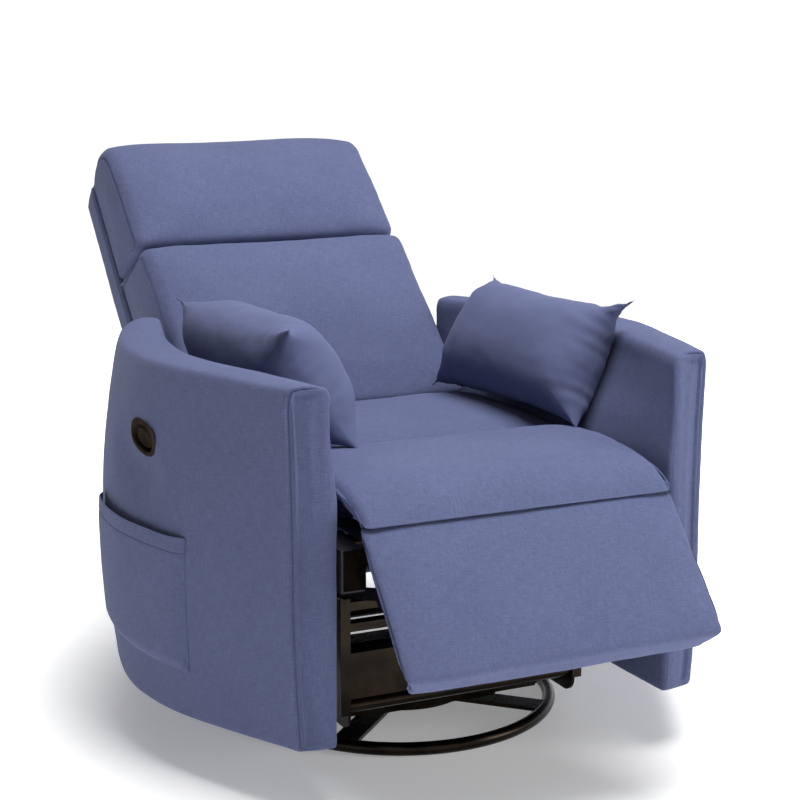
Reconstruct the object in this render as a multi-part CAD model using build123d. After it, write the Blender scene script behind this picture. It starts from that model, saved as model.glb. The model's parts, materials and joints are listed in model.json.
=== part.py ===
"""Swivel glider recliner: barrel arms, reclining back, folding legrest, on a ring base.

Millimetres, +Z up.  The origin is where the swivel axis meets the floor.  The chair
faces -Y, and the arm with the pocket and the release lever is the one at -X.
The model is drawn half way through its recline, with the legrest half raised.
"""

import os
from math import atan2, cos, degrees, pi, radians, sin, sqrt

from build123d import *

os.makedirs("parts", exist_ok=True)

# ---------------------------------------------------------------- driving dimensions
SOFT_GAP = 0.4  # room round a soft piece
FIT = 0.3  # room between rigid pieces that only lie side by side
RUN_FIT = 0.06  # radial room of a shaft that turns in a hole
OPEN_FIT = 0.6  # radial room at the legrest's last pivot, which carries nothing

# floor ring and its bars
RING_RADIUS = 246.5
RING_TUBE = 21.0
RING_FLAT = 0.5  # depth of the flat on which the ring stands
BAR_WIDTH = 40.0
BAR_THICK = 6.0
BAR_TOP = 20.0

# swivel bearing
HUB_RADIUS = 112.0
PLATE_THICK = 4.0
RACE_INNER = 78.0
RACE_OUTER = 102.0
RACE_THICK = 6.2
BALL_DIAMETER = 8.0
BALL_COUNT = 24
KINGPIN_DIAMETER = 20.0
KINGPIN_HEAD = 34.0
KINGPIN_HEAD_THICK = 8.0
NUT_SIZE = 30.0

# swivel frame
BEAM_WIDTH = 44.0
BEAM_HEIGHT = 26.0
BEAM_WALL = 4.0
BEAM_OFFSET = 122.0  # beam centre in front of and behind the swivel axis
POST_X = 176.0  # inner face of the upright glider plates
POST_THICK = 4.0

# glide linkage
LINK_TOP_Z = 238.0
LINK_LENGTH = 146.0
LINK_SPACING = 120.0  # pivots in front of and behind the swivel axis
LINK_WIDTH = 32.0
LINK_THICK = 5.0
LINK_ROOM = 3.0  # side room each side of a link, taken by its washers
PIN_DIAMETER = 12.0
BUSH_WALL = 2.5

# glide carriage
CARRIAGE_FRONT_Y = -238.0
CARRIAGE_REAR_Y = 200.0
CARRIAGE_BOTTOM_Z = 58.0
CARRIAGE_THICK = 4.0
CARRIAGE_NOSE = 26.0  # corner radius at the plates' lower ends
CROSS_TUBE_DIAMETER = 22.0
CROSS_TUBE_Z = 93.0
CROSS_BAR_HEIGHT = 13.0
CROSS_BAR_THICK = 4.0
UPPER_BAR_Z = 252.0
LOWER_BAR_Z = 219.0
PANEL_LOW_Z = 108.0
PANEL_HIGH_Z = 180.0
PANEL_THICK = 2.0

# room between the arms
ARM_INNER_X = 263.0

# seat frame
RAIL_OUTER_X = ARM_INNER_X - 1
RAIL_THICK = 36.0
RAIL_LOW_Z = 272.0
RAIL_HIGH_Z = 384.0
RAIL_FRONT_Y = -371.0
RAIL_REAR_Y = 233.0
END_RAIL_THICK = 18.0
FRONT_RAIL_LOW_Z = 353.0  # the legrest links pass below it
RAIL_NOSE_LOW_Z = 322.0  # ahead of the carriage the side rails are this much shallower
WEB_THICK = 2.0
WEB_WIDTH = 50.0
WEB_COUNT = 7
SEAT_BOLT = 8.0
SEAT_BOLT_DEPTH = 26.0

# arms
ARM_LOW_Z = 95.0
ARM_HIGH_Z = 618.0
ARM_RIM_Z = 590.0  # where the crown of the arm begins
ARM_FLARE_Z = 430.0  # the inner wall is straight up to here
ARM_WALL = 20.0  # foam and cover over the frame
ARM_SWEEP = 200.0  # from the inner wall to the widest point outside
ARM_FRONT_Y = -371.0
ARM_REAR_Y = 412.0
ARM_CORNER = 14.0
ARM_FRAME_THICK = 18.0
ARM_FRAME_TOP_Z = 560.0

# side pocket on the arm at -X
POCKET_FRONT_Y = -183.0
POCKET_REAR_Y = 128.0
POCKET_LOW_Z = 168.0
POCKET_HIGH_Z = 372.0
POCKET_DEPTH = 9.0
POCKET_CLOTH = 2.5

# release lever and its bezel
LEVER_Y = -48.0
LEVER_Z = 497.0
LEVER_LEAN = 28.0  # the oval's long axis leans this far from upright
BEZEL_LONG = 72.0
BEZEL_SHORT = 52.0
BEZEL_RIM = 6.5
BEZEL_PROUD = 5.0
CUP_DEPTH = 22.0
CUP_WALL = 2.0
PADDLE_LONG = 50.0
PADDLE_SHORT = 27.0
PADDLE_THICK = 5.0
LEVER_PIN = 4.0

# back, drawn upright about its pivot and then reclined
PIVOT_Y = 300.0
PIVOT_Z = 400.0
RECLINE = 45.0  # back's lean from upright, as drawn
BACK_UPRIGHT = 12.0  # lean at the upright limit
BACK_FLAT = 57.0  # lean at the flat limit
BACK_HALF = ARM_INNER_X - 6
CUSHION_FRONT = 64.0  # lumbar cushion's front, ahead of the pivot
CUSHION_BACK = -119.0
LUMBAR_LOW = 6.0
HEAD_SEAM = 402.0  # height of the seam plane between the cushions, above the pivot
HEAD_SEAM_SLOPE = 0.25  # the seam plane rises this much for each millimetre rearward
HEAD_HIGH = 684.0
SHELL_BACK = -183.0
SHELL_FRONT = -121.0
SHELL_LOW = 80.0
SHELL_HIGH = 668.0
SHELL_WALL = 24.0
BOARD_THICK = 15.0
APRON_RADIUS = 94.0
APRON_THICK = 3.0
APRON_FROM = 30.0
APRON_TO = -38.0
BRACKET_THICK = 4.0
BACK_SIDE_PLAY = 1.0  # between the back's brackets and the seat's
BRACKET_WIDTH = 24.0
RECLINE_PIN = 12.0

# seat cushion and seat front
SEAT_HALF = ARM_INNER_X - 7
SEAT_FRONT_Y = -95.0
SEAT_LOW_Z = 386.5
SEAT_EDGE_Z = 458.0
SEAT_CROWN = 12.0
BOLSTER_HALF = ARM_INNER_X - 14

# legrest, drawn hanging and then raised about its pivot
LEG_PIVOT_Y = -400.0
LEG_PIVOT_Z = 400.0
LEG_RAISED = 41.5  # lift from hanging, as drawn
LEG_TOP_LIFT = 83.5  # lift at the upper limit
LEG_FRONT = 27.1  # pad's front, ahead of the pivot
LEG_REAR = 22.0
LEG_LENGTH = 220.0
LEG_BOARD_THICK = 12.0
LEG_PIN = 10.0
LEG_SOCKET_BACK = 40.0  # last pivot behind and below the legrest's own, hanging
LEG_SOCKET_DROP = 62.0
BRACKET_LEG_X = ARM_INNER_X - 43
CRANK_BACK = 150.0  # drive tube's place behind and below the legrest's pivot
CRANK_DROP = 40.0
CRANK_WIDTH = 24.0
LEG_LINK_WIDTH = 18.0
DRIVE_TUBE = 20.0

# panel across the back, below the reclining part
REAR_PANEL_THICK = 28.0
REAR_PANEL_HIGH_Z = 314.0
REAR_PANEL_INSET = 4.0

# loose pillows, standing on the seat along the arms
PILLOW_LONG = 410.0
PILLOW_HIGH = 222.0
PILLOW_THICK = 132.0
PILLOW_EDGE = 3.0
PILLOW_TURN = 6.0
PILLOW_RIGHT_X = ARM_INNER_X - 6
PILLOW_RIGHT_Y = 32.0
PILLOW_RIGHT_Z = 569.2
PILLOW_RIGHT_LEAN = 29.0
PILLOW_LEFT_X = -(ARM_INNER_X - 33)
PILLOW_LEFT_Y = 17.0
PILLOW_LEFT_Z = 571.8
PILLOW_LEFT_LEAN = -31.0


# ---------------------------------------------------------------- small helpers
def block(x0, x1, y0, y1, z0, z1):
    """Box between two corners."""
    centre = Pos((x0 + x1) / 2, (y0 + y1) / 2, (z0 + z1) / 2)
    return centre * Box(abs(x1 - x0), abs(y1 - y0), abs(z1 - z0))


def rod_x(x0, x1, y, z, radius):
    """Round bar along X."""
    return Pos((x0 + x1) / 2, y, z) * Rot(0, 90, 0) * Cylinder(radius, abs(x1 - x0))


def rod_z(x, y, z0, z1, radius):
    """Round bar along Z."""
    return Pos(x, y, (z0 + z1) / 2) * Cylinder(radius, abs(z1 - z0))


def tube_x(x0, x1, y, z, outer, inner):
    """Round tube along X."""
    return rod_x(x0, x1, y, z, outer) - rod_x(x0 - 1, x1 + 1, y, z, inner)


def plate_x(x0, x1, points, radius=0.0):
    """Plate of thickness x1 - x0 whose outline is given as (y, z) points."""
    outline = Polyline(*[Vector(x0, y, z) for y, z in points], close=True)
    plate = extrude(make_face(outline), amount=x1 - x0, dir=(1, 0, 0))
    if radius:
        plate = fillet(plate.edges().filter_by(Axis.X), radius)
    return plate


def strap_x(x0, x1, first, last, width):
    """Flat bar with round ends between two (y, z) pivots."""
    (ya, za), (yb, zb) = first, last
    run = sqrt((yb - ya) ** 2 + (zb - za) ** 2)
    tilt = degrees(atan2(zb - za, yb - ya))
    middle = Pos((x0 + x1) / 2, (ya + yb) / 2, (za + zb) / 2) * Rot(tilt, 0, 0)
    bar = middle * Box(abs(x1 - x0), run, width)
    return bar + rod_x(x0, x1, ya, za, width / 2) + rod_x(x0, x1, yb, zb, width / 2)


def both_sides(shape):
    """The shape and its mirror image across the middle of the chair."""
    return [shape, mirror(shape, Plane.YZ)]


def save(name, *shapes):
    """Write the solids of one sub-part to its STEP file."""
    solids = [solid for shape in shapes for solid in shape.solids()]
    export_step(Compound(children=solids) if len(solids) > 1 else solids[0], f"parts/{name}.step")


def turned(y, z, pivot_y, pivot_z, angle):
    """Where a (y, z) point drawn about a pivot goes when it turns about +X."""
    c, s = cos(radians(angle)), sin(radians(angle))
    return pivot_y + y * c - z * s, pivot_z + y * s + z * c


# ---------------------------------------------------------------- floor ring and swivel bearing
def base_ring():
    ring = Pos(0, 0, RING_TUBE / 2) * Torus(RING_RADIUS, RING_TUBE / 2)
    reach = RING_RADIUS + RING_TUBE
    lifted = Pos(0, 0, -RING_FLAT) * ring
    return lifted - block(-reach, reach, -reach, reach, -RING_TUBE, 0)


def cross_bars(ring):
    """Two flat bars, half lapped where they cross, their ends shaped to the ring."""
    length = 2 * (RING_RADIUS - RING_TUBE / 4)
    middle = BAR_TOP - BAR_THICK / 2
    flat = Pos(0, 0, middle) * Box(length, BAR_WIDTH, BAR_THICK)
    lap = Box(BAR_WIDTH, BAR_WIDTH, BAR_THICK)
    under = flat - Pos(0, 0, BAR_TOP) * lap
    over = flat - Pos(0, 0, BAR_TOP - BAR_THICK) * lap
    return [Rot(0, 0, 45) * under - ring, Rot(0, 0, -45) * over - ring]


def hub_plate():
    return rod_z(0, 0, BAR_TOP, BAR_TOP + PLATE_THICK, HUB_RADIUS) - rod_z(
        0, 0, 0, 2 * BAR_TOP, KINGPIN_DIAMETER / 2
    )


RACE_LOW_Z = BAR_TOP + PLATE_THICK
BALL_Z = RACE_LOW_Z + RACE_THICK + 0.8
UPPER_RACE_Z = BALL_Z + 0.8
SWIVEL_PLATE_Z = UPPER_RACE_Z + RACE_THICK
BEAM_LOW_Z = SWIVEL_PLATE_Z + PLATE_THICK
BEAM_TOP_Z = BEAM_LOW_Z + BEAM_HEIGHT
RACE_MIDDLE = (RACE_INNER + RACE_OUTER) / 2


def race(low_z):
    ring = rod_z(0, 0, low_z, low_z + RACE_THICK, RACE_OUTER)
    ring -= rod_z(0, 0, low_z - 1, low_z + RACE_THICK + 1, RACE_INNER)
    groove = Pos(0, 0, BALL_Z) * Torus(RACE_MIDDLE, BALL_DIAMETER / 2 + RUN_FIT)
    return ring - groove


def bearing_balls():
    ball = Pos(RACE_MIDDLE, 0, BALL_Z) * Sphere(BALL_DIAMETER / 2)
    return [Rot(0, 0, 360 * n / BALL_COUNT) * ball for n in range(BALL_COUNT)]


def kingpin():
    """Pin from under the hub plate up through the swivel plate, with its head below."""
    low = BAR_TOP - BAR_THICK - KINGPIN_HEAD_THICK
    shank = rod_z(0, 0, low, BEAM_TOP_Z, KINGPIN_DIAMETER / 2)
    return shank + rod_z(0, 0, low, BAR_TOP - BAR_THICK, KINGPIN_HEAD / 2)


def kingpin_nut():
    low = BEAM_LOW_Z + FIT
    nut = extrude(Pos(0, 0, low) * RegularPolygon(NUT_SIZE / 2, 6), amount=12)
    return nut - rod_z(0, 0, low - 1, low + 20, KINGPIN_DIAMETER / 2)


# ---------------------------------------------------------------- swivel frame
def swivel_plate():
    hole = rod_z(0, 0, 0, 2 * BEAM_LOW_Z, KINGPIN_DIAMETER / 2 + RUN_FIT)
    side = 2 * (BEAM_OFFSET + BEAM_WIDTH / 2)
    plate = Pos(0, 0, SWIVEL_PLATE_Z + PLATE_THICK / 2) * Box(2 * HUB_RADIUS, side, PLATE_THICK)
    return fillet(plate.edges().filter_by(Axis.Z), 20) - hole


def swivel_beam(y):
    """Channel beam, open below, that carries the two upright glider plates."""
    x = POST_X
    half = BEAM_WIDTH / 2
    outer = block(-x, x, y - half, y + half, BEAM_LOW_Z, BEAM_TOP_Z)
    inner = block(
        -x - 1, x + 1, y - half + BEAM_WALL, y + half - BEAM_WALL, BEAM_LOW_Z - 1, BEAM_TOP_Z - BEAM_WALL
    )
    return outer - inner


def glider_post():
    """Upright plate at +X with the links' upper pins in it."""
    foot = BEAM_OFFSET + BEAM_WIDTH / 2
    head = LINK_SPACING + PIN_DIAMETER + 6
    high = LINK_TOP_Z + PIN_DIAMETER + 4
    points = [(-foot, BEAM_LOW_Z), (foot, BEAM_LOW_Z), (foot, BEAM_TOP_Z + 10), (head, high)]
    points += [(-head, high), (-foot, BEAM_TOP_Z + 10)]
    plate = plate_x(POST_X, POST_X + POST_THICK, points, 8)
    window = plate_x(
        POST_X - 1,
        POST_X + POST_THICK + 1,
        [(-70, BEAM_TOP_Z + 30), (70, BEAM_TOP_Z + 30), (60, high - 40), (-60, high - 40)],
        12,
    )
    plate -= window
    for y in (-LINK_SPACING, LINK_SPACING):
        plate -= rod_x(POST_X - 1, POST_X + POST_THICK + 1, y, LINK_TOP_Z, PIN_DIAMETER / 2)
    return plate


LINK_X = POST_X + POST_THICK + LINK_ROOM
CARRIAGE_X = LINK_X + LINK_THICK + LINK_ROOM
LINK_LOW_Z = LINK_TOP_Z - LINK_LENGTH


def link_pins(z, x0, x1, head_at_inner):
    """Two pins at one height on the +X side, each with a head."""
    pins = []
    for y in (-LINK_SPACING, LINK_SPACING):
        pin = rod_x(x0, x1, y, z, PIN_DIAMETER / 2)
        edge = x0 if head_at_inner else x1
        pin += rod_x(edge - 3, edge, y, z, PIN_DIAMETER * 0.75) if head_at_inner else rod_x(
            edge, edge + 3, y, z, PIN_DIAMETER * 0.75
        )
        pins.append(pin)
    return pins


def glide_link(y):
    bar = strap_x(LINK_X, LINK_X + LINK_THICK, (y, LINK_LOW_Z), (y, LINK_TOP_Z), LINK_WIDTH)
    for z in (LINK_LOW_Z, LINK_TOP_Z):
        bar -= rod_x(LINK_X - 1, LINK_X + LINK_THICK + 1, y, z, PIN_DIAMETER / 2 + BUSH_WALL)
    return bar


def link_bushes(y):
    outer = PIN_DIAMETER / 2 + BUSH_WALL
    inner = PIN_DIAMETER / 2 + RUN_FIT
    room = LINK_ROOM - FIT
    return [
        tube_x(LINK_X - room, LINK_X + LINK_THICK + room, y, z, outer, inner)
        for z in (LINK_LOW_Z, LINK_TOP_Z)
    ]


# ---------------------------------------------------------------- glide carriage
def carriage_plate():
    """Side plate at +X with a top flange that the seat rail stands on."""
    x0, x1 = CARRIAGE_X, CARRIAGE_X + CARRIAGE_THICK
    front, rear, low = CARRIAGE_FRONT_Y, CARRIAGE_REAR_Y, CARRIAGE_BOTTOM_Z
    top = RAIL_LOW_Z - FIT
    outline = [(front, low), (rear, low), (rear, top), (front, top)]
    plate = plate_x(x0, x1, outline)
    corners = plate.edges().filter_by(Axis.X).sort_by(Axis.Z)[:2]
    plate = fillet(corners, CARRIAGE_NOSE)
    plate += block(x0, RAIL_OUTER_X, front, rear, top - CARRIAGE_THICK, top)
    plate += block(x0, x0 + 16, front, front + CARRIAGE_THICK, low + CARRIAGE_NOSE, top)
    for y in (-LINK_SPACING, LINK_SPACING):
        plate -= rod_x(x0 - 1, x1 + 1, y, LINK_LOW_Z, PIN_DIAMETER / 2)
    for x, y in seat_bolt_places():
        plate -= rod_z(x, y, top - 20, top + 20, SEAT_BOLT / 2)
    return plate


def cross_tube(y):
    outer = CROSS_TUBE_DIAMETER / 2
    return tube_x(-CARRIAGE_X, CARRIAGE_X, y, CROSS_TUBE_Z, outer, outer - 2)


def cross_bar(z):
    y = CARRIAGE_FRONT_Y + 6
    half = CROSS_BAR_HEIGHT / 2
    bar = block(-CARRIAGE_X, CARRIAGE_X, y, y + CROSS_BAR_THICK, z - half, z + half)
    top = z + half
    lip = block(-CARRIAGE_X, CARRIAGE_X, y, y + 20, top - CROSS_BAR_THICK, top)
    return bar + lip


def carriage_panel():
    """Dark sheet across the front of the carriage, folded back along its top."""
    y = CARRIAGE_FRONT_Y + 3
    sheet = block(-CARRIAGE_X, CARRIAGE_X, y, y + PANEL_THICK, PANEL_LOW_Z, PANEL_HIGH_Z)
    fold = block(-CARRIAGE_X, CARRIAGE_X, y, y + 24, PANEL_HIGH_Z - PANEL_THICK, PANEL_HIGH_Z)
    return sheet + fold


# ---------------------------------------------------------------- seat frame
RAIL_INNER_X = RAIL_OUTER_X - RAIL_THICK
RECLINE_BRACKET_X = RAIL_INNER_X - FIT - BRACKET_THICK
BRACKET_FOOT_Y = PIVOT_Y - 135  # the recline bracket's foot on the rail runs rearward from here


def seat_bolt_places():
    x = (CARRIAGE_X + CARRIAGE_THICK + RAIL_OUTER_X) / 2 + 8
    run = CARRIAGE_REAR_Y - CARRIAGE_FRONT_Y
    return [(x, CARRIAGE_FRONT_Y + share * run) for share in (0.0753, 0.5434, 0.9201)]


def bolt_z(x, y, low, high, shank, head):
    """Upright bolt with its round head at the low end."""
    return rod_z(x, y, low, high, shank / 2) + rod_z(x, y, low - 4, low, head / 2)


def seat_bolts():
    low = RAIL_LOW_Z - FIT - CARRIAGE_THICK
    return [bolt_z(x, y, low, RAIL_LOW_Z + SEAT_BOLT_DEPTH, SEAT_BOLT, 18) for x, y in seat_bolt_places()]


ARM_BOLT_PLACES = [
    (RAIL_FRONT_Y + along * (RAIL_REAR_Y - RAIL_FRONT_Y), RAIL_LOW_Z + up * (RAIL_HIGH_Z - RAIL_LOW_Z))
    for along in (0.2575, 0.5149, 0.9205)
    for up in (0.34, 0.7)
]
ARM_BOLT = 8.0


def arm_bolts():
    """Bolts from inside the seat rail through the arm's cover into its frame.

    The rear ones go through the recline bracket first.
    """
    x1 = ARM_INNER_X + ARM_WALL + ARM_FRAME_THICK - 2
    bolts = []
    for y, z in ARM_BOLT_PLACES:
        x0 = RECLINE_BRACKET_X if y > BRACKET_FOOT_Y else RAIL_INNER_X
        bolt = rod_x(x0, x1, y, z, ARM_BOLT / 2) + rod_x(x0 - 4, x0, y, z, ARM_BOLT)
        bolts.append(bolt)
    return bolts


def arm_bolt_holes(x0, x1):
    holes = Part()
    for y, z in ARM_BOLT_PLACES:
        holes += rod_x(x0, x1, y, z, ARM_BOLT / 2)
    return holes


def side_rail():
    x0 = RAIL_INNER_X
    rail = block(x0, RAIL_OUTER_X, RAIL_FRONT_Y, RAIL_REAR_Y, RAIL_LOW_Z, RAIL_HIGH_Z)
    rail -= block(x0 - 1, RAIL_OUTER_X + 1, RAIL_FRONT_Y - 1, CARRIAGE_FRONT_Y - 2, RAIL_LOW_Z - 1, RAIL_NOSE_LOW_Z)
    rail -= arm_bolt_holes(x0 - 1, RAIL_OUTER_X + 1)
    for x, y in seat_bolt_places():
        rail -= rod_z(x, y, RAIL_LOW_Z - 1, RAIL_LOW_Z + SEAT_BOLT_DEPTH, SEAT_BOLT / 2)
    rail -= rod_x(x0 - 1, RAIL_OUTER_X + 1, *crank_pivot(), DRIVE_TUBE / 2 + RUN_FIT)
    return rail


def end_rail(y, low, half):
    return block(-half, half, y, y + END_RAIL_THICK, low, RAIL_HIGH_Z)


def seat_webbing():
    reach = RAIL_INNER_X - 10
    pitch = 2 * (reach - WEB_WIDTH / 2) / (WEB_COUNT - 1)
    straps = []
    for n in range(WEB_COUNT):
        x = -reach + WEB_WIDTH / 2 + n * pitch
        x0, x1 = x - WEB_WIDTH / 2, x + WEB_WIDTH / 2
        strap = block(x0, x1, RAIL_FRONT_Y + 2, RAIL_REAR_Y - 2, RAIL_HIGH_Z, RAIL_HIGH_Z + WEB_THICK)
        straps.append(strap)
    return straps


# ---------------------------------------------------------------- arms
# The arm's plan at nine places: share of its length from the front, then how far its outer
# edge lies outside the straight inner wall low down, at half height and at the rim, and how
# far its inner edge does at the rim, as shares of ARM_SWEEP.
ARM_PLAN = [
    (0, 0.295, 0.335, 0.365, 0.065),
    (0.1226, 0.545, 0.585, 0.515, 0.145),
    (0.2516, 0.785, 0.825, 0.655, 0.265),
    (0.3653, 0.915, 0.955, 0.755, 0.37),
    (0.4866, 0.955, 1.0, 0.79, 0.41),
    (0.6079, 0.9, 0.955, 0.75, 0.37),
    (0.7484, 0.76, 0.825, 0.64, 0.275),
    (0.8889, 0.545, 0.585, 0.465, 0.125),
    (1, 0.295, 0.305, 0.275, 0),
]


def arm_line(column):
    """One edge of the arm seen from above, from front to rear, as (x, y) points."""
    length = ARM_REAR_Y - ARM_FRONT_Y
    return [(ARM_INNER_X + ARM_SWEEP * row[column], ARM_FRONT_Y + length * row[0]) for row in ARM_PLAN]


OUTER_LOW, OUTER_MID, OUTER_RIM = arm_line(1), arm_line(2), arm_line(3)
INNER_RIM = arm_line(4)[::-1]


def arm_outline(z, outer, inner, inset=0.0, outset=0.0):
    """Closed plan outline of one arm, drawn in by inset all round or out by outset on the outside."""
    front = ARM_FRONT_Y + inset
    rear = ARM_REAR_Y - inset
    outside = [(x - inset + outset, y) for x, y in outer]
    inside = [(x + inset, y) for x, y in inner]
    outside = [(x, max(front, min(rear, y))) for x, y in outside]
    inside = [(x, max(front, min(rear, y))) for x, y in inside]
    corner = min(ARM_CORNER, (outside[0][0] - inside[-1][0]) / 3)
    start = Vector(outside[0][0], front + corner, z)
    end = Vector(inside[-1][0], front + corner, z)
    outer_edge = Spline(start, *[Vector(x, y, z) for x, y in outside[1:]])
    rear_edge = ThreePointArc(
        Vector(*outside[-1], z),
        Vector((outside[-1][0] + inside[0][0]) / 2, rear + ARM_CORNER / 2, z),
        Vector(*inside[0], z),
    )
    inner_edge = Spline(*[Vector(x, y, z) for x, y in inside[:-1]], end)
    soft = corner * (1 - sqrt(0.5))
    front_inner = ThreePointArc(
        end, Vector(end.X + soft, front + soft, z), Vector(end.X + corner, front, z)
    )
    front_edge = Line(Vector(end.X + corner, front, z), Vector(start.X - corner, front, z))
    front_outer = ThreePointArc(
        Vector(start.X - corner, front, z), Vector(start.X - soft, front + soft, z), start
    )
    return Wire([outer_edge, rear_edge, inner_edge, front_inner, front_edge, front_outer])


def between(first, second, share):
    return [
        (xa + (xb - xa) * share, ya + (yb - ya) * share) for (xa, ya), (xb, yb) in zip(first, second)
    ]


INNER_LOW = [(ARM_INNER_X, y) for _, y in INNER_RIM]
ARM_LEVELS = 9  # ruled steps from the arm's lower edge to its rim


def smooth(share):
    """Ease from 0 to 1."""
    share = max(0.0, min(1.0, share))
    return share * share * (3 - 2 * share)


def arm_edges(z):
    """Outer and inner edge of the arm at height z."""
    belly = ARM_LOW_Z + 0.45 * (ARM_RIM_Z - ARM_LOW_Z)
    if z < belly:
        outer = between(OUTER_LOW, OUTER_MID, sin(pi / 2 * (z - ARM_LOW_Z) / (belly - ARM_LOW_Z)))
    else:
        outer = between(OUTER_MID, OUTER_RIM, ((z - belly) / (ARM_RIM_Z - belly)) ** 2)
    inner = between(INNER_LOW, INNER_RIM, smooth((z - ARM_FLARE_Z) / (ARM_RIM_Z - ARM_FLARE_Z)))
    return outer, inner


def arm_body(inset=0.0, outset=0.0, low=ARM_LOW_Z, high=ARM_HIGH_Z):
    """Arm's outer form, or one drawn in or out from it, crowned along its top if it is that high."""
    top = min(high, ARM_RIM_Z)
    heights = [low + (top - low) * n / ARM_LEVELS for n in range(ARM_LEVELS + 1)]
    wires = [arm_outline(z, *arm_edges(z), inset, outset) for z in heights]
    if high > ARM_RIM_Z:
        rise = high - ARM_RIM_Z
        for turn in (30, 60, 90):
            z = ARM_RIM_Z + rise * sin(radians(turn))
            draw = rise * 0.8 * (1 - cos(radians(turn)))
            wires.append(arm_outline(z, OUTER_RIM, INNER_RIM, inset + draw, outset))
    return Solid.make_loft(wires, ruled=True)


def arm_cover():
    """Foam and cover of the arm at +X, hollow and open below."""
    cover = arm_body() - arm_body(inset=ARM_WALL, low=ARM_LOW_Z - 0.01, high=ARM_RIM_Z - 6)
    return cover - arm_bolt_holes(ARM_INNER_X - 1, ARM_INNER_X + ARM_WALL + 1)


ARM_RIB_SHARES = (0.0524, 0.3206, 0.5888, 0.857)
ARM_RIB_PLACES = [ARM_FRONT_Y + share * (ARM_REAR_Y - ARM_FRONT_Y) for share in ARM_RIB_SHARES]


def arm_frame():
    """Plywood panel with three ribs that fill the hollow of the arm at +X."""
    x0 = ARM_INNER_X + ARM_WALL + SOFT_GAP
    far = ARM_INNER_X + 2 * ARM_SWEEP
    panel = block(x0, x0 + ARM_FRAME_THICK, ARM_FRONT_Y, ARM_REAR_Y + ARM_CORNER, ARM_LOW_Z + 4, ARM_FLARE_Z)
    ribs = Part()
    for y in ARM_RIB_PLACES:
        ribs += block(x0, far, y, y + ARM_FRAME_THICK, ARM_LOW_Z + 4, ARM_FRAME_TOP_Z)
    hollow = arm_body(inset=ARM_WALL + SOFT_GAP, low=ARM_LOW_Z - 0.02, high=ARM_RIM_Z - 7)
    frame = (panel + ribs) & hollow
    return frame - arm_bolt_holes(x0 - 1, x0 + ARM_FRAME_THICK)


def side_pocket():
    """Sewn pocket on the arm at -X, open along its top."""
    y0, y1, z0, z1 = POCKET_FRONT_Y, POCKET_REAR_Y, POCKET_LOW_Z, POCKET_HIGH_Z
    skin = arm_body(outset=SOFT_GAP, high=ARM_RIM_Z)
    outside = arm_body(outset=POCKET_DEPTH + POCKET_CLOTH, high=ARM_RIM_Z)
    inside = arm_body(outset=POCKET_DEPTH, high=ARM_RIM_Z)
    near, far = ARM_INNER_X + 0.2 * ARM_SWEEP, ARM_INNER_X + 2 * ARM_SWEEP
    envelope = block(near, far, y0, y1, z0, z1)
    envelope = fillet(envelope.edges().filter_by(Axis.X).group_by(Axis.Z)[0], 28)
    edge = 6.0
    room = block(near, far, y0 + edge, y1 - edge, z0 + edge, z1 + 50)
    room = fillet(room.edges().filter_by(Axis.X).group_by(Axis.Z)[0], 24)
    pocket = (outside & envelope) - (inside & room) - skin
    return mirror(pocket, Plane.YZ)


# ---------------------------------------------------------------- release lever
def lever_place():
    """Frame on the arm's outer wall: local Z points out of the arm, local Y along the oval."""
    share = (LEVER_Z - ARM_FLARE_Z) / (ARM_RIM_Z - ARM_FLARE_Z)
    outline = between(OUTER_MID, OUTER_RIM, 0.12 + 0.88 * share)
    for (xa, ya), (xb, yb) in zip(outline, outline[1:]):
        if ya <= LEVER_Y <= yb:
            x = xa + (xb - xa) * (LEVER_Y - ya) / (yb - ya)
            slope = degrees(atan2(xb - xa, yb - ya))
    return Pos(-x - 1.5, LEVER_Y, LEVER_Z) * Rot(0, 0, slope) * Rot(0, -90, 0) * Rot(0, 0, LEVER_LEAN)


def oval(long_size, short_size, low, high):
    """Oval block, its long way along local X."""
    straight = long_size - short_size
    face = SlotCenterToCenter(straight, short_size)
    return Pos(0, 0, low) * extrude(face, amount=high - low)


LEVER_PIN_X = BEZEL_LONG / 2 - BEZEL_RIM - 9
LEVER_PIN_Z = -7.0


def lever_shaft(radius, span):
    """Round bar along the lever's pivot."""
    return Pos(LEVER_PIN_X, 0, LEVER_PIN_Z) * Rot(90, 0, 0) * Cylinder(radius, span)


def lever_pin_span():
    """Length of the pivot pin that the cup's round end leaves room for."""
    outer = BEZEL_SHORT / 2 - BEZEL_RIM + CUP_WALL
    past = LEVER_PIN_X + LEVER_PIN / 2 - (BEZEL_LONG - BEZEL_SHORT) / 2
    return 2 * sqrt(outer**2 - past**2) - 2 * FIT


def handle_bezel():
    rim = oval(BEZEL_LONG, BEZEL_SHORT, -2, BEZEL_PROUD)
    rim = fillet(rim.edges().group_by(Axis.Z)[-1], 3.5)
    wall = 2 * (CUP_WALL - BEZEL_RIM)
    cup = oval(BEZEL_LONG + wall, BEZEL_SHORT + wall, -CUP_DEPTH, 0)
    hollow = oval(BEZEL_LONG - 2 * BEZEL_RIM, BEZEL_SHORT - 2 * BEZEL_RIM, CUP_WALL - CUP_DEPTH, 20)
    body = rim + cup - hollow
    return lever_place() * (body - lever_shaft(LEVER_PIN / 2, lever_pin_span()))


def lever_pin():
    return lever_place() * lever_shaft(LEVER_PIN / 2, lever_pin_span())


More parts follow.
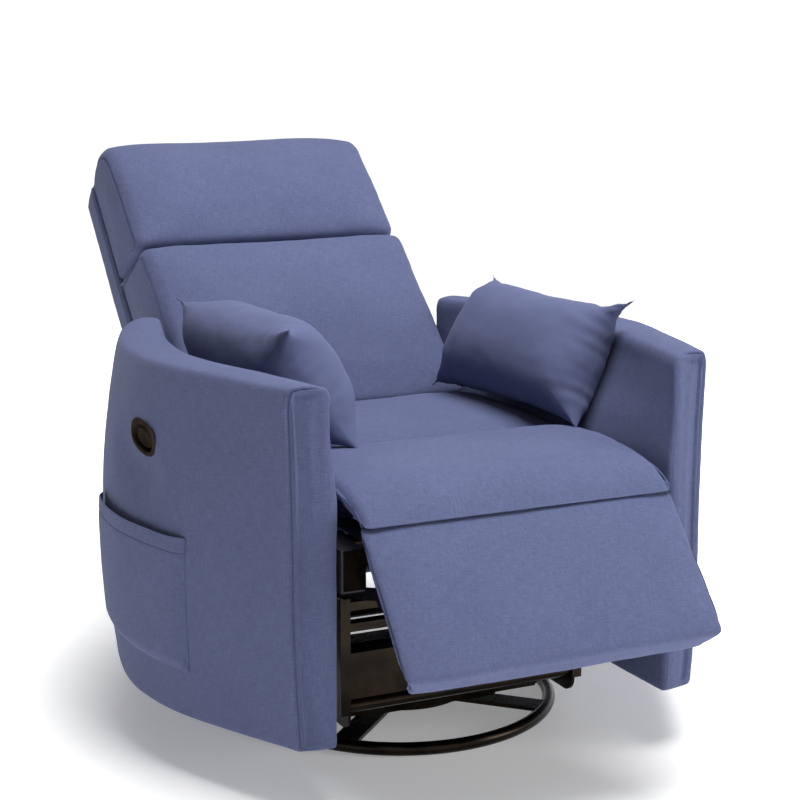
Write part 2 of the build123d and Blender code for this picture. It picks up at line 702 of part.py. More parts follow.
def release_lever():
    """Paddle that swings out of the cup about a cross pin near its upper end."""
    blade = oval(PADDLE_LONG, PADDLE_SHORT, LEVER_PIN_Z + 3, LEVER_PIN_Z + 3 + PADDLE_THICK)
    blade = Pos(LEVER_PIN_X + 5 - PADDLE_LONG / 2, 0, 0) * fillet(blade.edges().group_by(Axis.Z)[-1], 1.8)
    barrel = lever_shaft(LEVER_PIN / 2 + 2.2, PADDLE_SHORT - 8)
    bore = lever_shaft(LEVER_PIN / 2 + RUN_FIT, PADDLE_SHORT)
    return lever_place() * (blade + barrel - bore)


def lever_room():
    """Hole that the bezel's cup needs through the arm's cover."""
    grow = 2 * (CUP_WALL + SOFT_GAP)
    cup = oval(BEZEL_LONG - 2 * BEZEL_RIM + grow, BEZEL_SHORT - 2 * BEZEL_RIM + grow, -CUP_DEPTH - 20, 20)
    rim = oval(BEZEL_LONG + 2 * SOFT_GAP, BEZEL_SHORT + 2 * SOFT_GAP, -2 - SOFT_GAP, 20)
    return lever_place() * (cup + rim)


# ---------------------------------------------------------------- back
BACK_PLACE = Pos(0, PIVOT_Y, PIVOT_Z) * Rot(-RECLINE, 0, 0)


CUSHION_STATIONS = (-1, -0.97, -0.9, -0.8, -0.6, -0.3, 0, 0.3, 0.6, 0.8, 0.9, 0.97, 1)


def cushion_from(profile, half, power):
    """Soft block lofted across the chair: crowned in the middle and drawn in at its sides.

    The higher the power, the closer to the sides the crown keeps its full height.
    """
    return Solid.make_loft([profile(half * at, 1 - abs(at) ** power) for at in CUSHION_STATIONS])


def closed_profile(x, points):
    """Closed outline in the plane at x: (y, z) corners, and arcs where a middle point is given."""
    edges = []
    count = len(points)
    for n, point in enumerate(points):
        after = points[(n + 1) % count]
        start = Vector(x, point[0], point[1])
        end = Vector(x, after[0], after[1])
        if len(point) == 4:
            edges.append(ThreePointArc(start, Vector(x, point[2], point[3]), end))
        else:
            edges.append(Line(start, end))
    return Wire(edges)


def seam_height(y):
    """Height above the pivot of the plane where the two back cushions meet."""
    return HEAD_SEAM + HEAD_SEAM_SLOPE * y


def lumbar_profile(x, swell):
    """Lumbar cushion seen from its side, upright, (rearward, up); swell runs from side to middle."""
    draw = 10 * (1 - swell)
    front = -CUSHION_FRONT + 6 - 6 * swell
    low = LUMBAR_LOW + 0.6 * draw
    high = seam_height(front + 66) - SOFT_GAP
    back = -CUSHION_BACK
    middle = (low + high) / 2
    bulge = 12 + 14 * swell
    return closed_profile(
        x,
        [
            (front + 8, low),
            (front, low + 14, front + 16 - bulge, middle),
            (front + 40, high - 22, front + 47, high - 7),
            (front + 66, high),
            (back - SOFT_GAP, seam_height(back - SOFT_GAP) - SOFT_GAP),
            (back - SOFT_GAP, SHELL_LOW + 4),
        ],
    )


def head_profile(x, swell):
    """Headrest cushion seen from its side, upright."""
    draw = 10 * (1 - swell)
    front = -CUSHION_FRONT + 44 - 8 * swell
    lip = front + 34
    low = seam_height(lip) + SOFT_GAP
    high = HEAD_HIGH - 0.8 * draw
    back = -CUSHION_BACK
    bulge = 8 + 12 * swell
    return closed_profile(
        x,
        [
            (lip, low),
            (front + 4, low + 20, front + 6 - bulge, low + 128),
            (front + 20, high - 60, front + 44, high - 14),
            (front + 78, high, back - 14, high - 4),
            (back - SOFT_GAP, SHELL_HIGH - 8),
            (back - SOFT_GAP, seam_height(back - SOFT_GAP) + SOFT_GAP),
        ],
    )


BRACKET_X = RECLINE_BRACKET_X + BRACKET_THICK + BACK_SIDE_PLAY
BOARD_HALF = BRACKET_X - FIT
BOARD_FRONT = -CUSHION_BACK + FIT


def back_shell():
    """Padded outer back with a recess in its front for the board and the brackets."""
    outer = block(-BACK_HALF, BACK_HALF, -SHELL_FRONT, -SHELL_BACK, SHELL_LOW, SHELL_HIGH)
    outer = fillet(outer.faces().sort_by(Axis.Y)[-1].edges(), 20)
    half = BACK_HALF - SHELL_WALL
    low, high = SHELL_LOW - 1, SHELL_HIGH - SHELL_WALL
    shell = outer - block(-half, half, -SHELL_FRONT - 1, BOARD_FRONT + BOARD_THICK + SOFT_GAP, low, high)
    slot_back = BOARD_FRONT + BRACKET_WIDTH + 2
    slot = block(BOARD_HALF - 0.4, half, -SHELL_FRONT - 1, slot_back, low, SHELL_LOW + 182)
    return shell - slot - mirror(slot, Plane.YZ)


def back_board():
    low, high = SHELL_LOW + 4, SHELL_HIGH - SHELL_WALL - FIT
    board = block(-BOARD_HALF, BOARD_HALF, BOARD_FRONT, BOARD_FRONT + BOARD_THICK, low, high)
    for y, z in BACK_BOLT_PLACES:
        for x0, x1 in ((BOARD_HALF - 30, BOARD_HALF + 1), (-BOARD_HALF - 1, -BOARD_HALF + 30)):
            board -= rod_x(x0, x1, y, z, 3)
    return board


BACK_BOLT_PLACES = [(BOARD_FRONT + BOARD_THICK / 2, SHELL_LOW + lift) for lift in (40, 90, 140)]


def back_bracket():
    """Steel arm at +X from the recline pivot up the edge of the back board, upright."""
    x0, x1 = BRACKET_X, BRACKET_X + BRACKET_THICK
    line = BOARD_FRONT + BRACKET_WIDTH / 2
    knee = (line, SHELL_LOW - 18)
    top = (line, SHELL_LOW + 165)
    arm = strap_x(x0, x1, (0, 0), knee, BRACKET_WIDTH) + strap_x(x0, x1, knee, top, BRACKET_WIDTH)
    arm -= rod_x(x0 - 1, x1 + 1, 0, 0, RECLINE_PIN / 2 + RUN_FIT)
    for y, z in BACK_BOLT_PLACES:
        arm -= rod_x(x0 - 1, x1 + 1, y, z, 3)
    return arm


def back_bolts():
    bolts = []
    for y, z in BACK_BOLT_PLACES:
        end = BRACKET_X + BRACKET_THICK
        bolts.append(rod_x(BOARD_HALF - 28, end, y, z, 3) + rod_x(end, end + 1.5, y, z, 6))
    return bolts


def back_apron():
    """Thin curved board about the pivot that closes the gap below the back, upright."""
    half = BOARD_HALF - 8
    ring = tube_x(-half, half, 0, 0, APRON_RADIUS, APRON_RADIUS - APRON_THICK)
    far = 3 * APRON_RADIUS
    a, b = radians(APRON_FROM), radians(APRON_TO)
    rays = [(far * cos(b), far * sin(b)), (far, 0), (far * cos(a), far * sin(a))]
    wedge = plate_x(-half - 1, half + 1, [(0, 0)] + rays)
    arc = ring & wedge
    start = (APRON_RADIUS - 1) * cos(a), (APRON_RADIUS - 1) * sin(a)
    end = BOARD_FRONT + BOARD_THICK / 2, SHELL_LOW + 4 - FIT
    strip = [(start[0] - 1, start[1] + 1.5), (start[0] + 1, start[1] - 1.5)]
    strip += [(end[0] + 2, end[1] - 2.5), (end[0] + 2, end[1]), (end[0] - 3, end[1])]
    web = plate_x(-half, half, strip)
    return arc + web


# ---------------------------------------------------------------- recline brackets on the seat
def recline_bracket():
    """Steel plate at +X bolted inside the seat rail, with the back's pivot at its top."""
    x0, x1 = RECLINE_BRACKET_X, RECLINE_BRACKET_X + BRACKET_THICK
    low, high = RAIL_LOW_Z + 20, RAIL_HIGH_Z - 6
    foot_end = BRACKET_FOOT_Y + 50
    points = [(BRACKET_FOOT_Y, low), (foot_end, low), (PIVOT_Y + 10, PIVOT_Z - 15), (PIVOT_Y - 12, PIVOT_Z + 12)]
    points += [(foot_end, high), (BRACKET_FOOT_Y, high)]
    plate = plate_x(x0, x1, points) + rod_x(x0, x1, PIVOT_Y, PIVOT_Z, 17)
    plate -= rod_x(x0 - 1, x1 + 1, PIVOT_Y, PIVOT_Z, RECLINE_PIN / 2)
    return plate - arm_bolt_holes(x0 - 1, x1 + 1)


def recline_pin():
    x0 = RECLINE_BRACKET_X
    x1 = BRACKET_X + BRACKET_THICK + 1
    head = RECLINE_PIN * 0.8
    shank = rod_x(x0 - 2, x1, PIVOT_Y, PIVOT_Z, RECLINE_PIN / 2)
    return shank + rod_x(x1, x1 + 4, PIVOT_Y, PIVOT_Z, head) + rod_x(x0 - 5, x0 - 2, PIVOT_Y, PIVOT_Z, head)


# ---------------------------------------------------------------- seat cushions
def upright_face(z):
    """Y of the lumbar cushion's front at height z when the back is upright."""
    y0, z0 = turned(-CUSHION_FRONT - 1, 0, PIVOT_Y, PIVOT_Z, -BACK_UPRIGHT)
    lean = radians(BACK_UPRIGHT - 5)
    return y0 + (z - z0) * sin(lean) / cos(lean)


def seat_profile(x, swell):
    draw = 8 * (1 - swell)
    top = SEAT_EDGE_Z - draw
    rear_low = PIVOT_Y - CUSHION_FRONT - 3
    front = SEAT_FRONT_Y + SOFT_GAP
    rear_top = upright_face(top) - 2
    crown = SEAT_CROWN * (0.4 + 0.6 * swell)
    return closed_profile(
        x,
        [
            (front, SEAT_LOW_Z),
            (front, top, (front + rear_top) / 2, top + crown),
            (rear_top - 4, top - 3),
            (rear_low, PIVOT_Z + 10),
            (rear_low, SEAT_LOW_Z),
        ],
    )


def bolster_profile(x, swell):
    draw = 6 * (1 - swell)
    lift = 6 * swell
    room = LEG_FRONT + 0.9
    nose_y = LEG_PIVOT_Y - 12
    nose_z = LEG_PIVOT_Z + LEG_FRONT + 2.6
    run = SEAT_FRONT_Y - LEG_PIVOT_Y
    brow, high, low_back = (SEAT_EDGE_Z - draw + lift + rise * SEAT_CROWN for rise in (-0.33, 1.0, 0.75))
    turn = radians(50)
    mid = (LEG_PIVOT_Y + room * cos(turn), LEG_PIVOT_Z + room * sin(turn))
    return closed_profile(
        x,
        [
            (SEAT_FRONT_Y, SEAT_LOW_Z),
            (LEG_PIVOT_Y + room, SEAT_LOW_Z),
            (LEG_PIVOT_Y + room, LEG_PIVOT_Z, *mid),
            (LEG_PIVOT_Y, LEG_PIVOT_Z + room),
            (nose_y, nose_z, nose_y + 6, nose_z + 12),
            (LEG_PIVOT_Y + 0.105 * run, brow, LEG_PIVOT_Y + 0.361 * run, high + 2),
            (LEG_PIVOT_Y + 0.689 * run, high, LEG_PIVOT_Y + 0.852 * run, low_back),
            (SEAT_FRONT_Y, SEAT_EDGE_Z - draw),
        ],
    )


# ---------------------------------------------------------------- legrest
LEG_PLACE = Pos(0, LEG_PIVOT_Y, LEG_PIVOT_Z) * Rot(-LEG_RAISED, 0, 0)


def crank_pivot():
    return LEG_PIVOT_Y + CRANK_BACK, LEG_PIVOT_Z - CRANK_DROP


def socket_point():
    """Where the link meets the legrest bracket, with the legrest raised as drawn."""
    return turned(LEG_SOCKET_BACK, -LEG_SOCKET_DROP, LEG_PIVOT_Y, LEG_PIVOT_Z, -LEG_RAISED)


def crank_end():
    """The crank is parallel to the line from the legrest's pivot to its socket."""
    y, z = socket_point()
    return y + CRANK_BACK, z - CRANK_DROP


BOARD_EDGE_X = BRACKET_LEG_X - FIT
LEG_BOLT_DROPS = (60.0, 100.0)
LEG_FOOT_WIDTH = 22.0


def leg_profile(x, swell):
    """Legrest pad seen from its side, hanging, (rearward, up)."""
    draw = 5 * (1 - swell)
    front = -LEG_FRONT + draw
    board = LEG_REAR - LEG_BOARD_THICK - SOFT_GAP
    low = -LEG_LENGTH + draw
    top = LEG_FRONT - draw
    bulge = 2 + 5 * swell
    slope = radians(135)
    return closed_profile(
        x,
        [
            (0, top, top * cos(slope), top * sin(slope)),
            (front, 0, front - bulge, low / 2),
            (front, low + 14, front + 4, low + 4),
            (front + 14, low),
            (LEG_REAR, low),
            (LEG_REAR, low + 10),
            (board, low + 12),
            (board, 8),
        ],
    )


def leg_pad():
    """Pad with a slot each side for the hinge."""
    pad = Part() + cushion_from(leg_profile, BOLSTER_HALF, 10)
    slot = block(BRACKET_LEG_X - 3, BRACKET_LEG_X + 13, -16, 40, -48, 60)
    return pad - slot - mirror(slot, Plane.YZ)


def leg_bolt(x, z, radius, y0, y1):
    return Pos(x, (y0 + y1) / 2, z) * Rot(90, 0, 0) * Cylinder(radius, y1 - y0)


def leg_board():
    half = BOARD_EDGE_X
    board = block(-half, half, LEG_REAR - LEG_BOARD_THICK, LEG_REAR, -LEG_LENGTH + 13.5, -48)
    for x in (-BRACKET_LEG_X + LEG_FOOT_WIDTH / 2, BRACKET_LEG_X - LEG_FOOT_WIDTH / 2):
        for drop in LEG_BOLT_DROPS:
            board -= leg_bolt(x, -drop, 2.5, 0, 40)
    return board


def leg_bracket():
    """Bracket at +X behind the board: a foot on the board and a plate with two pivots."""
    x0, x1 = BRACKET_LEG_X, BRACKET_LEG_X + BRACKET_THICK
    y0 = LEG_REAR + FIT
    sy, sz = LEG_SOCKET_BACK, -LEG_SOCKET_DROP
    edge = LEG_REAR - LEG_BOARD_THICK + 2 * FIT
    points = [(edge, -120), (y0, -120), (sy + 11, sz - 10), (sy + 11, sz + 9.5), (27, sz + 9.5), (26.5, -16)]
    points += [(12, 12), (-8, 10), (-11, -6), (edge, -44)]
    plate = plate_x(x0, x1, points)
    plate += block(x0 - LEG_FOOT_WIDTH, x0, y0, y0 + BRACKET_THICK, -120, -44)
    plate -= rod_x(x0 - 1, x1 + 1, 0, 0, LEG_PIN / 2 + RUN_FIT)
    plate -= rod_x(x0 - 1, x1 + 1, sy, sz, LEG_PIN / 2 + OPEN_FIT)
    for drop in LEG_BOLT_DROPS:
        plate -= leg_bolt(x0 - LEG_FOOT_WIDTH / 2, -drop, 2.5, 0, 60)
    return plate


def leg_bolts():
    """Screws from behind through the bracket's foot into the board."""
    bolts = []
    head = LEG_REAR + FIT + BRACKET_THICK
    for drop in LEG_BOLT_DROPS:
        x = BRACKET_LEG_X - LEG_FOOT_WIDTH / 2
        bolts.append(leg_bolt(x, -drop, 2.5, LEG_REAR - 9, head) + leg_bolt(x, -drop, 5, head, head + 2.5))
    return bolts


HINGE_X = BRACKET_LEG_X + BRACKET_THICK + 2


def leg_hinge():
    """Hinge plate at +X, folded onto the front end of the seat rail."""
    y0, z0 = LEG_PIVOT_Y, LEG_PIVOT_Z
    face = RAIL_FRONT_Y
    points = [(face, z0 - 38), (face, z0 - 16), (y0 + 10, z0 + 10), (y0 - 10, z0 + 8)]
    points += [(y0 - 11, z0 - 8), (y0 + 12, z0 - 38)]
    plate = plate_x(HINGE_X, HINGE_X + BRACKET_THICK, points)
    plate += block(HINGE_X, RAIL_OUTER_X - 3, face - BRACKET_THICK, face, RAIL_NOSE_LOW_Z + 4, RAIL_HIGH_Z)
    return plate - rod_x(HINGE_X - 1, HINGE_X + BRACKET_THICK + 1, y0, z0, LEG_PIN / 2)


def leg_hinge_pin():
    return rod_x(BRACKET_LEG_X - 2, HINGE_X + BRACKET_THICK, LEG_PIVOT_Y, LEG_PIVOT_Z, LEG_PIN / 2)


LINK_LEG_X = BRACKET_LEG_X - 2 - BRACKET_THICK
CRANK_X = LINK_LEG_X - 2 - BRACKET_THICK


def leg_crank():
    """Crank at +X, welded to the drive tube."""
    ay, az = crank_pivot()
    by, bz = crank_end()
    x0, x1 = CRANK_X, CRANK_X + BRACKET_THICK
    crank = strap_x(x0, x1, (ay, az), (by, bz), CRANK_WIDTH) + rod_x(x0, x1, ay, az, DRIVE_TUBE / 2 + 7)
    crank -= rod_x(x0 - 1, x1 + 1, ay, az, DRIVE_TUBE / 2)
    return crank - rod_x(x0 - 1, x1 + 1, by, bz, LEG_PIN / 2)


def crank_pin():
    by, bz = crank_end()
    pin = rod_x(CRANK_X, LINK_LEG_X + BRACKET_THICK + 1, by, bz, LEG_PIN / 2)
    return pin + rod_x(CRANK_X - 3, CRANK_X, by, bz, LEG_PIN * 0.8)


def drive_tube():
    ay, az = crank_pivot()
    reach = RAIL_OUTER_X - 2
    return tube_x(-reach, reach, ay, az, DRIVE_TUBE / 2, DRIVE_TUBE / 2 - 2.5)


def leg_link():
    """Link at +X from the crank to the legrest's socket, with the socket's pin on it."""
    x0, x1 = LINK_LEG_X, LINK_LEG_X + BRACKET_THICK
    cy, cz = socket_point()
    link = strap_x(x0, x1, crank_end(), (cy, cz), LEG_LINK_WIDTH)
    link -= rod_x(x0 - 1, x1 + 1, *crank_end(), LEG_PIN / 2 + RUN_FIT)
    return link + rod_x(x1, BRACKET_LEG_X + BRACKET_THICK + 1, cy, cz, LEG_PIN / 2)


# ---------------------------------------------------------------- rear panel and pillows
def rear_panel():
    x = ARM_INNER_X - FIT
    rear = ARM_REAR_Y - REAR_PANEL_INSET
    panel = block(-x, x, rear - REAR_PANEL_THICK, rear, ARM_LOW_Z, REAR_PANEL_HIGH_Z)
    return fillet(panel.faces().sort_by(Axis.Y)[-1].edges(), 8)


def pillow_section(z_share, long_half, high_half, thick_half):
    """Level outline of a pillow standing on its long edge, thin at its ends."""
    reach = sqrt(max(0.0, 1 - abs(z_share) ** 2.6))
    half = long_half * (0.94 + 0.06 * abs(z_share))
    thick = max(PILLOW_EDGE, thick_half * reach)
    z = high_half * z_share
    edges = []
    for side in (1, -1):
        tip, crest = Vector(0, -half * side, z), Vector(thick * side, 0, z)
        edges.append(ThreePointArc(tip, Vector(thick * side * 0.86, -half * 0.5 * side, z), crest))
        tip = Vector(0, half * side, z)
        edges.append(ThreePointArc(crest, Vector(thick * side * 0.86, half * 0.5 * side, z), tip))
    return Wire(edges)


def pillow(x, y, z, lean):
    """Loose pillow standing on its long edge and leaning outward."""
    levels = (-1, -0.72, -0.36, 0, 0.36, 0.72, 1)
    wires = [pillow_section(s, PILLOW_LONG / 2, PILLOW_HIGH / 2, PILLOW_THICK / 2) for s in levels]
    return Pos(x, y, z) * Rot(0, 0, PILLOW_TURN) * Rot(0, lean, 0) * Solid.make_loft(wires)


# ---------------------------------------------------------------- build and write everything
def build_base():
    ring = base_ring()
    save("base_ring", ring)
    save("base_cross_bars", *[bar - rod_z(0, 0, 0, 60, KINGPIN_DIAMETER / 2) for bar in cross_bars(ring)])
    save("hub_plate", hub_plate())
    save("lower_race", race(RACE_LOW_Z))
    save("bearing_balls", *bearing_balls())
    save("kingpin", kingpin())


def build_swivel():
    save("upper_race", race(UPPER_RACE_Z))
    save("swivel_plate", swivel_plate())
    save("swivel_beams", swivel_beam(-BEAM_OFFSET), swivel_beam(BEAM_OFFSET))
    post = glider_post()
    save("glider_post_left", mirror(post, Plane.YZ))
    save("glider_post_right", post)
    save("kingpin_nut", kingpin_nut())
    pins = link_pins(LINK_TOP_Z, POST_X, LINK_X + LINK_THICK + 2, True)
    save("glide_pins_upper", *[side for pin in pins for side in both_sides(pin)])


def build_carriage():
    front, rear = glide_link(-LINK_SPACING), glide_link(LINK_SPACING)
    save("glide_links_front", *both_sides(front))
    save("glide_links_rear", *both_sides(rear))
    save("link_bushes_front", *[side for bush in link_bushes(-LINK_SPACING) for side in both_sides(bush)])
    save("link_bushes_rear", *[side for bush in link_bushes(LINK_SPACING) for side in both_sides(bush)])
    pins = link_pins(LINK_LOW_Z, LINK_X - 2, CARRIAGE_X + CARRIAGE_THICK, False)
    save("glide_pins_lower", *[side for pin in pins for side in both_sides(pin)])
    plate = carriage_plate()
    save("carriage_plate_left", mirror(plate, Plane.YZ))
    save("carriage_plate_right", plate)
    inset = CROSS_TUBE_DIAMETER / 2 + 1
    save("carriage_cross_tubes", cross_tube(CARRIAGE_FRONT_Y + inset + 6), cross_tube(CARRIAGE_REAR_Y - inset))
    save("carriage_cross_bars", cross_bar(UPPER_BAR_Z), cross_bar(LOWER_BAR_Z))
    save("carriage_panel", carriage_panel())
    save("seat_bolts", *[side for bolt in seat_bolts() for side in both_sides(bolt)])


def build_seat():
    rail = side_rail()
    save("seat_rail_left", mirror(rail, Plane.YZ))
    save("seat_rail_right", rail)
    save("seat_rail_front", end_rail(RAIL_FRONT_Y, FRONT_RAIL_LOW_Z, RAIL_INNER_X))
    save("seat_rail_rear", end_rail(RAIL_REAR_Y - END_RAIL_THICK, RAIL_LOW_Z, RECLINE_BRACKET_X - FIT))
    save("seat_webbing", *seat_webbing())
    save("seat_cushion", cushion_from(seat_profile, SEAT_HALF, 8))
    save("seat_bolster", cushion_from(bolster_profile, BOLSTER_HALF, 8))
    save("rear_panel", rear_panel())


def build_arms():
    cover = arm_cover()
    frame = arm_frame()
    room = lever_room()
    save("arm_cover_right", cover)
    save("arm_cover_left", mirror(cover, Plane.YZ) - room)
    save("arm_frame_right", frame)
    save("arm_frame_left", mirror(frame, Plane.YZ) - room)
    save("arm_bolts", *[side for bolt in arm_bolts() for side in both_sides(bolt)])
    save("side_pocket", side_pocket())
    save("handle_bezel", handle_bezel())
    save("lever_pin", lever_pin())
    save("release_lever", release_lever())


def build_back():
    save("lumbar_cushion", BACK_PLACE * cushion_from(lumbar_profile, BACK_HALF, 8))
    save("headrest_cushion", BACK_PLACE * cushion_from(head_profile, BACK_HALF, 8))
    save("back_shell", BACK_PLACE * back_shell())
    save("back_board", BACK_PLACE * back_board())
    save("back_apron", BACK_PLACE * back_apron())
    bracket = back_bracket()
    save("back_brackets", *[BACK_PLACE * side for side in both_sides(bracket)])
    save("back_bolts", *[BACK_PLACE * side for bolt in back_bolts() for side in both_sides(bolt)])
    save("recline_brackets", *both_sides(recline_bracket()))
    save("recline_pins", *both_sides(recline_pin()))


def build_legrest():
    save("legrest_pad", LEG_PLACE * leg_pad())
    save("legrest_board", LEG_PLACE * leg_board())
    save("legrest_brackets", *[LEG_PLACE * side for side in both_sides(leg_bracket())])
    save("legrest_screws", *[LEG_PLACE * side for bolt in leg_bolts() for side in both_sides(bolt)])
    save("legrest_hinges", *both_sides(leg_hinge() + leg_hinge_pin()))
    save("drive_tube", drive_tube())
    save("drive_cranks", *both_sides(leg_crank() + crank_pin()))
    save("legrest_links", *both_sides(leg_link()))


def build_pillows():
    save("pillow_right", pillow(PILLOW_RIGHT_X, PILLOW_RIGHT_Y, PILLOW_RIGHT_Z, PILLOW_RIGHT_LEAN))
    save("pillow_left", pillow(PILLOW_LEFT_X, PILLOW_LEFT_Y, PILLOW_LEFT_Z, PILLOW_LEFT_LEAN))


build_base()
build_swivel()
build_carriage()
build_seat()
build_arms()
build_back()
build_legrest()
build_pillows()
print("written:", len(os.listdir("parts")), "files")
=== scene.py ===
"""Looks of the swivel glider recliner: woven covers, seams, pillows, pocket, handle and metal finishes.

Metres, in the row frame: +Z up, the chair faces -Y, and the pocket and the lever are at -X.
Sizes below are in millimetres until they go into a mesh.
"""

import json

from math import cos, pi, radians, sin, sqrt

import bmesh
import bpy
import numpy as np
from mathutils import Matrix, Vector, noise
from mathutils.bvhtree import BVHTree


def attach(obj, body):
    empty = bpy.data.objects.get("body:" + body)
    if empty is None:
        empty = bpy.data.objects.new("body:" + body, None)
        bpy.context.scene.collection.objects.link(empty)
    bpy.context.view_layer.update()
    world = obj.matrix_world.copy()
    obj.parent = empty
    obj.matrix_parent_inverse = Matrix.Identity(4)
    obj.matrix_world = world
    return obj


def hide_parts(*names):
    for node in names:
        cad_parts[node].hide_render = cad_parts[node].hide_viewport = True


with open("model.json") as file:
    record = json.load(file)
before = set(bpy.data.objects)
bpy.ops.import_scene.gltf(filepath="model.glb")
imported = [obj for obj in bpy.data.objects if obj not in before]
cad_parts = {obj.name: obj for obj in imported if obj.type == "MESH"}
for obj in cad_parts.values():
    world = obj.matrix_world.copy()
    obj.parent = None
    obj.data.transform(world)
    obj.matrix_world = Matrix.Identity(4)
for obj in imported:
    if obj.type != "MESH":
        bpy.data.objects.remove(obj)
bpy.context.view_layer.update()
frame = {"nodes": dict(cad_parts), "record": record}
scene = bpy.context.scene
MM = 0.001


# ---------------------------------------------------------------- camera
def make_camera():
    data = bpy.data.cameras.new("camera")
    data.sensor_width = 36.0
    data.lens = 84.36
    data.clip_end = 60
    camera = bpy.data.objects.new("camera", data)
    scene.collection.objects.link(camera)
    camera.location = (-1.2424, -2.6729, 1.1275)
    camera.rotation_euler = (radians(78.07), 0, radians(-24.94))
    scene.camera = camera


make_camera()


# ---------------------------------------------------------------- materials
def new_material(name):
    material = bpy.data.materials.new(name)
    material.use_nodes = True
    tree = material.node_tree
    tree.nodes.clear()
    out = tree.nodes.new("ShaderNodeOutputMaterial")
    shader = tree.nodes.new("ShaderNodeBsdfPrincipled")
    tree.links.new(shader.outputs[0], out.inputs[0])
    return material, tree, shader


def node(tree, kind, **values):
    made = tree.nodes.new(kind)
    for key, value in values.items():
        setattr(made, key, value)
    return made


def link(tree, source, target, out=0, into=0):
    tree.links.new(source.outputs[out], target.inputs[into])


def math(tree, operation, first, second=None, third=None):
    made = tree.nodes.new("ShaderNodeMath")
    made.operation = operation
    for n, value in enumerate((first, second, third)):
        if value is None:
            continue
        if isinstance(value, (int, float)):
            made.inputs[n].default_value = value
        else:
            tree.links.new(value.outputs[0], made.inputs[n])
    return made


def streaks(tree, source, scale, detail=2.0):
    """Noise stretched along one thread direction."""
    mapping = node(tree, "ShaderNodeMapping")
    mapping.inputs["Scale"].default_value = scale
    link(tree, source, mapping, 0, 0)
    made = node(tree, "ShaderNodeTexNoise", noise_dimensions="3D")
    made.inputs["Scale"].default_value = 1.0
    made.inputs["Detail"].default_value = detail
    made.inputs["Roughness"].default_value = 0.6
    link(tree, mapping, made)
    return made


def solid_weave_place(tree):
    """Weave coordinates of a node without UVs: sideways, and down and back together."""
    place = node(tree, "ShaderNodeTexCoord")
    parts = node(tree, "ShaderNodeSeparateXYZ")
    tree.links.new(place.outputs["Object"], parts.inputs[0])
    along = node(tree, "ShaderNodeMath", operation="ADD")
    link(tree, parts, along, 1, 0)
    link(tree, parts, along, 2, 1)
    joined = node(tree, "ShaderNodeCombineXYZ")
    link(tree, parts, joined, 0, 0)
    link(tree, along, joined, 0, 1)
    return joined


def woven(name, low, middle, high, thread=0.0013, bump=0.35, fleck=1.0, rough=0.92, sheen=0.06, uv_map=True):
    """Plain weave in metres: threads across each other, uneven in thickness and colour."""
    material, tree, shader = new_material(name)
    uv = node(tree, "ShaderNodeUVMap", uv_map="weave") if uv_map else solid_weave_place(tree)
    split = node(tree, "ShaderNodeSeparateXYZ")
    link(tree, uv, split)
    wander = streaks(tree, uv, (260, 260, 1), 3.0)
    shift = math(tree, "MULTIPLY", math(tree, "SUBTRACT", wander, 0.5), 0.9)
    turns = 2 * pi / thread / 2
    waves = []
    for way in (0, 1):
        phase = node(tree, "ShaderNodeMath", operation="MULTIPLY_ADD")
        phase.inputs[1].default_value = turns
        link(tree, split, phase, way, 0)
        link(tree, shift, phase, 0, 2)
        waves.append(math(tree, "SINE", phase))
    su, sv = waves
    over = math(tree, "MULTIPLY", su, sv)
    warp = math(tree, "MULTIPLY", math(tree, "ABSOLUTE", su), math(tree, "MULTIPLY_ADD", over, 0.5, 0.5))
    weft = math(tree, "MULTIPLY", math(tree, "ABSOLUTE", sv), math(tree, "MULTIPLY_ADD", over, -0.5, 0.5))
    height = math(tree, "MAXIMUM", warp, weft)
    along = streaks(tree, uv, (55, 900, 1))
    across = streaks(tree, uv, (900, 55, 1))
    cloud = streaks(tree, uv, (9, 9, 1), 4.0)
    mix = math(tree, "ADD", math(tree, "MULTIPLY", along, 0.5), math(tree, "MULTIPLY", across, 0.5))
    mix = math(tree, "SUBTRACT", mix, 0.5)
    tone = math(tree, "MULTIPLY_ADD", mix, 2.2 * fleck, 0.5)
    tone = math(tree, "MULTIPLY_ADD", math(tree, "SUBTRACT", cloud, 0.5), 0.35, tone)
    # Thread crowns are made lighter and the dips between threads darker: painted highlight and painted shade
    # at thread scale, over the bump from the same height.
    tone = math(tree, "MULTIPLY_ADD", math(tree, "SUBTRACT", height, 0.45), 0.28, tone)
    ramp = node(tree, "ShaderNodeValToRGB")
    ramp.color_ramp.elements[0].position = 0.1
    ramp.color_ramp.elements[0].color = (*low, 1)
    ramp.color_ramp.elements[1].position = 0.9
    ramp.color_ramp.elements[1].color = (*high, 1)
    centre = ramp.color_ramp.elements.new(0.5)
    centre.color = (*middle, 1)
    link(tree, tone, ramp)
    tree.links.new(ramp.outputs[0], shader.inputs["Base Color"])
    shader.inputs["Roughness"].default_value = rough
    shader.inputs["Specular IOR Level"].default_value = 0.25
    shader.inputs["Sheen Weight"].default_value = sheen
    shader.inputs["Sheen Roughness"].default_value = 0.5
    shader.inputs["Sheen Tint"].default_value = (0.72, 0.76, 1.0, 1)
    relief = math(tree, "MULTIPLY_ADD", mix, 0.8, height)
    made = node(tree, "ShaderNodeBump")
    made.inputs["Strength"].default_value = bump
    made.inputs["Distance"].default_value = thread * 0.4
    link(tree, relief, made, 0, made.inputs.find("Height"))
    tree.links.new(made.outputs[0], shader.inputs["Normal"])
    return material


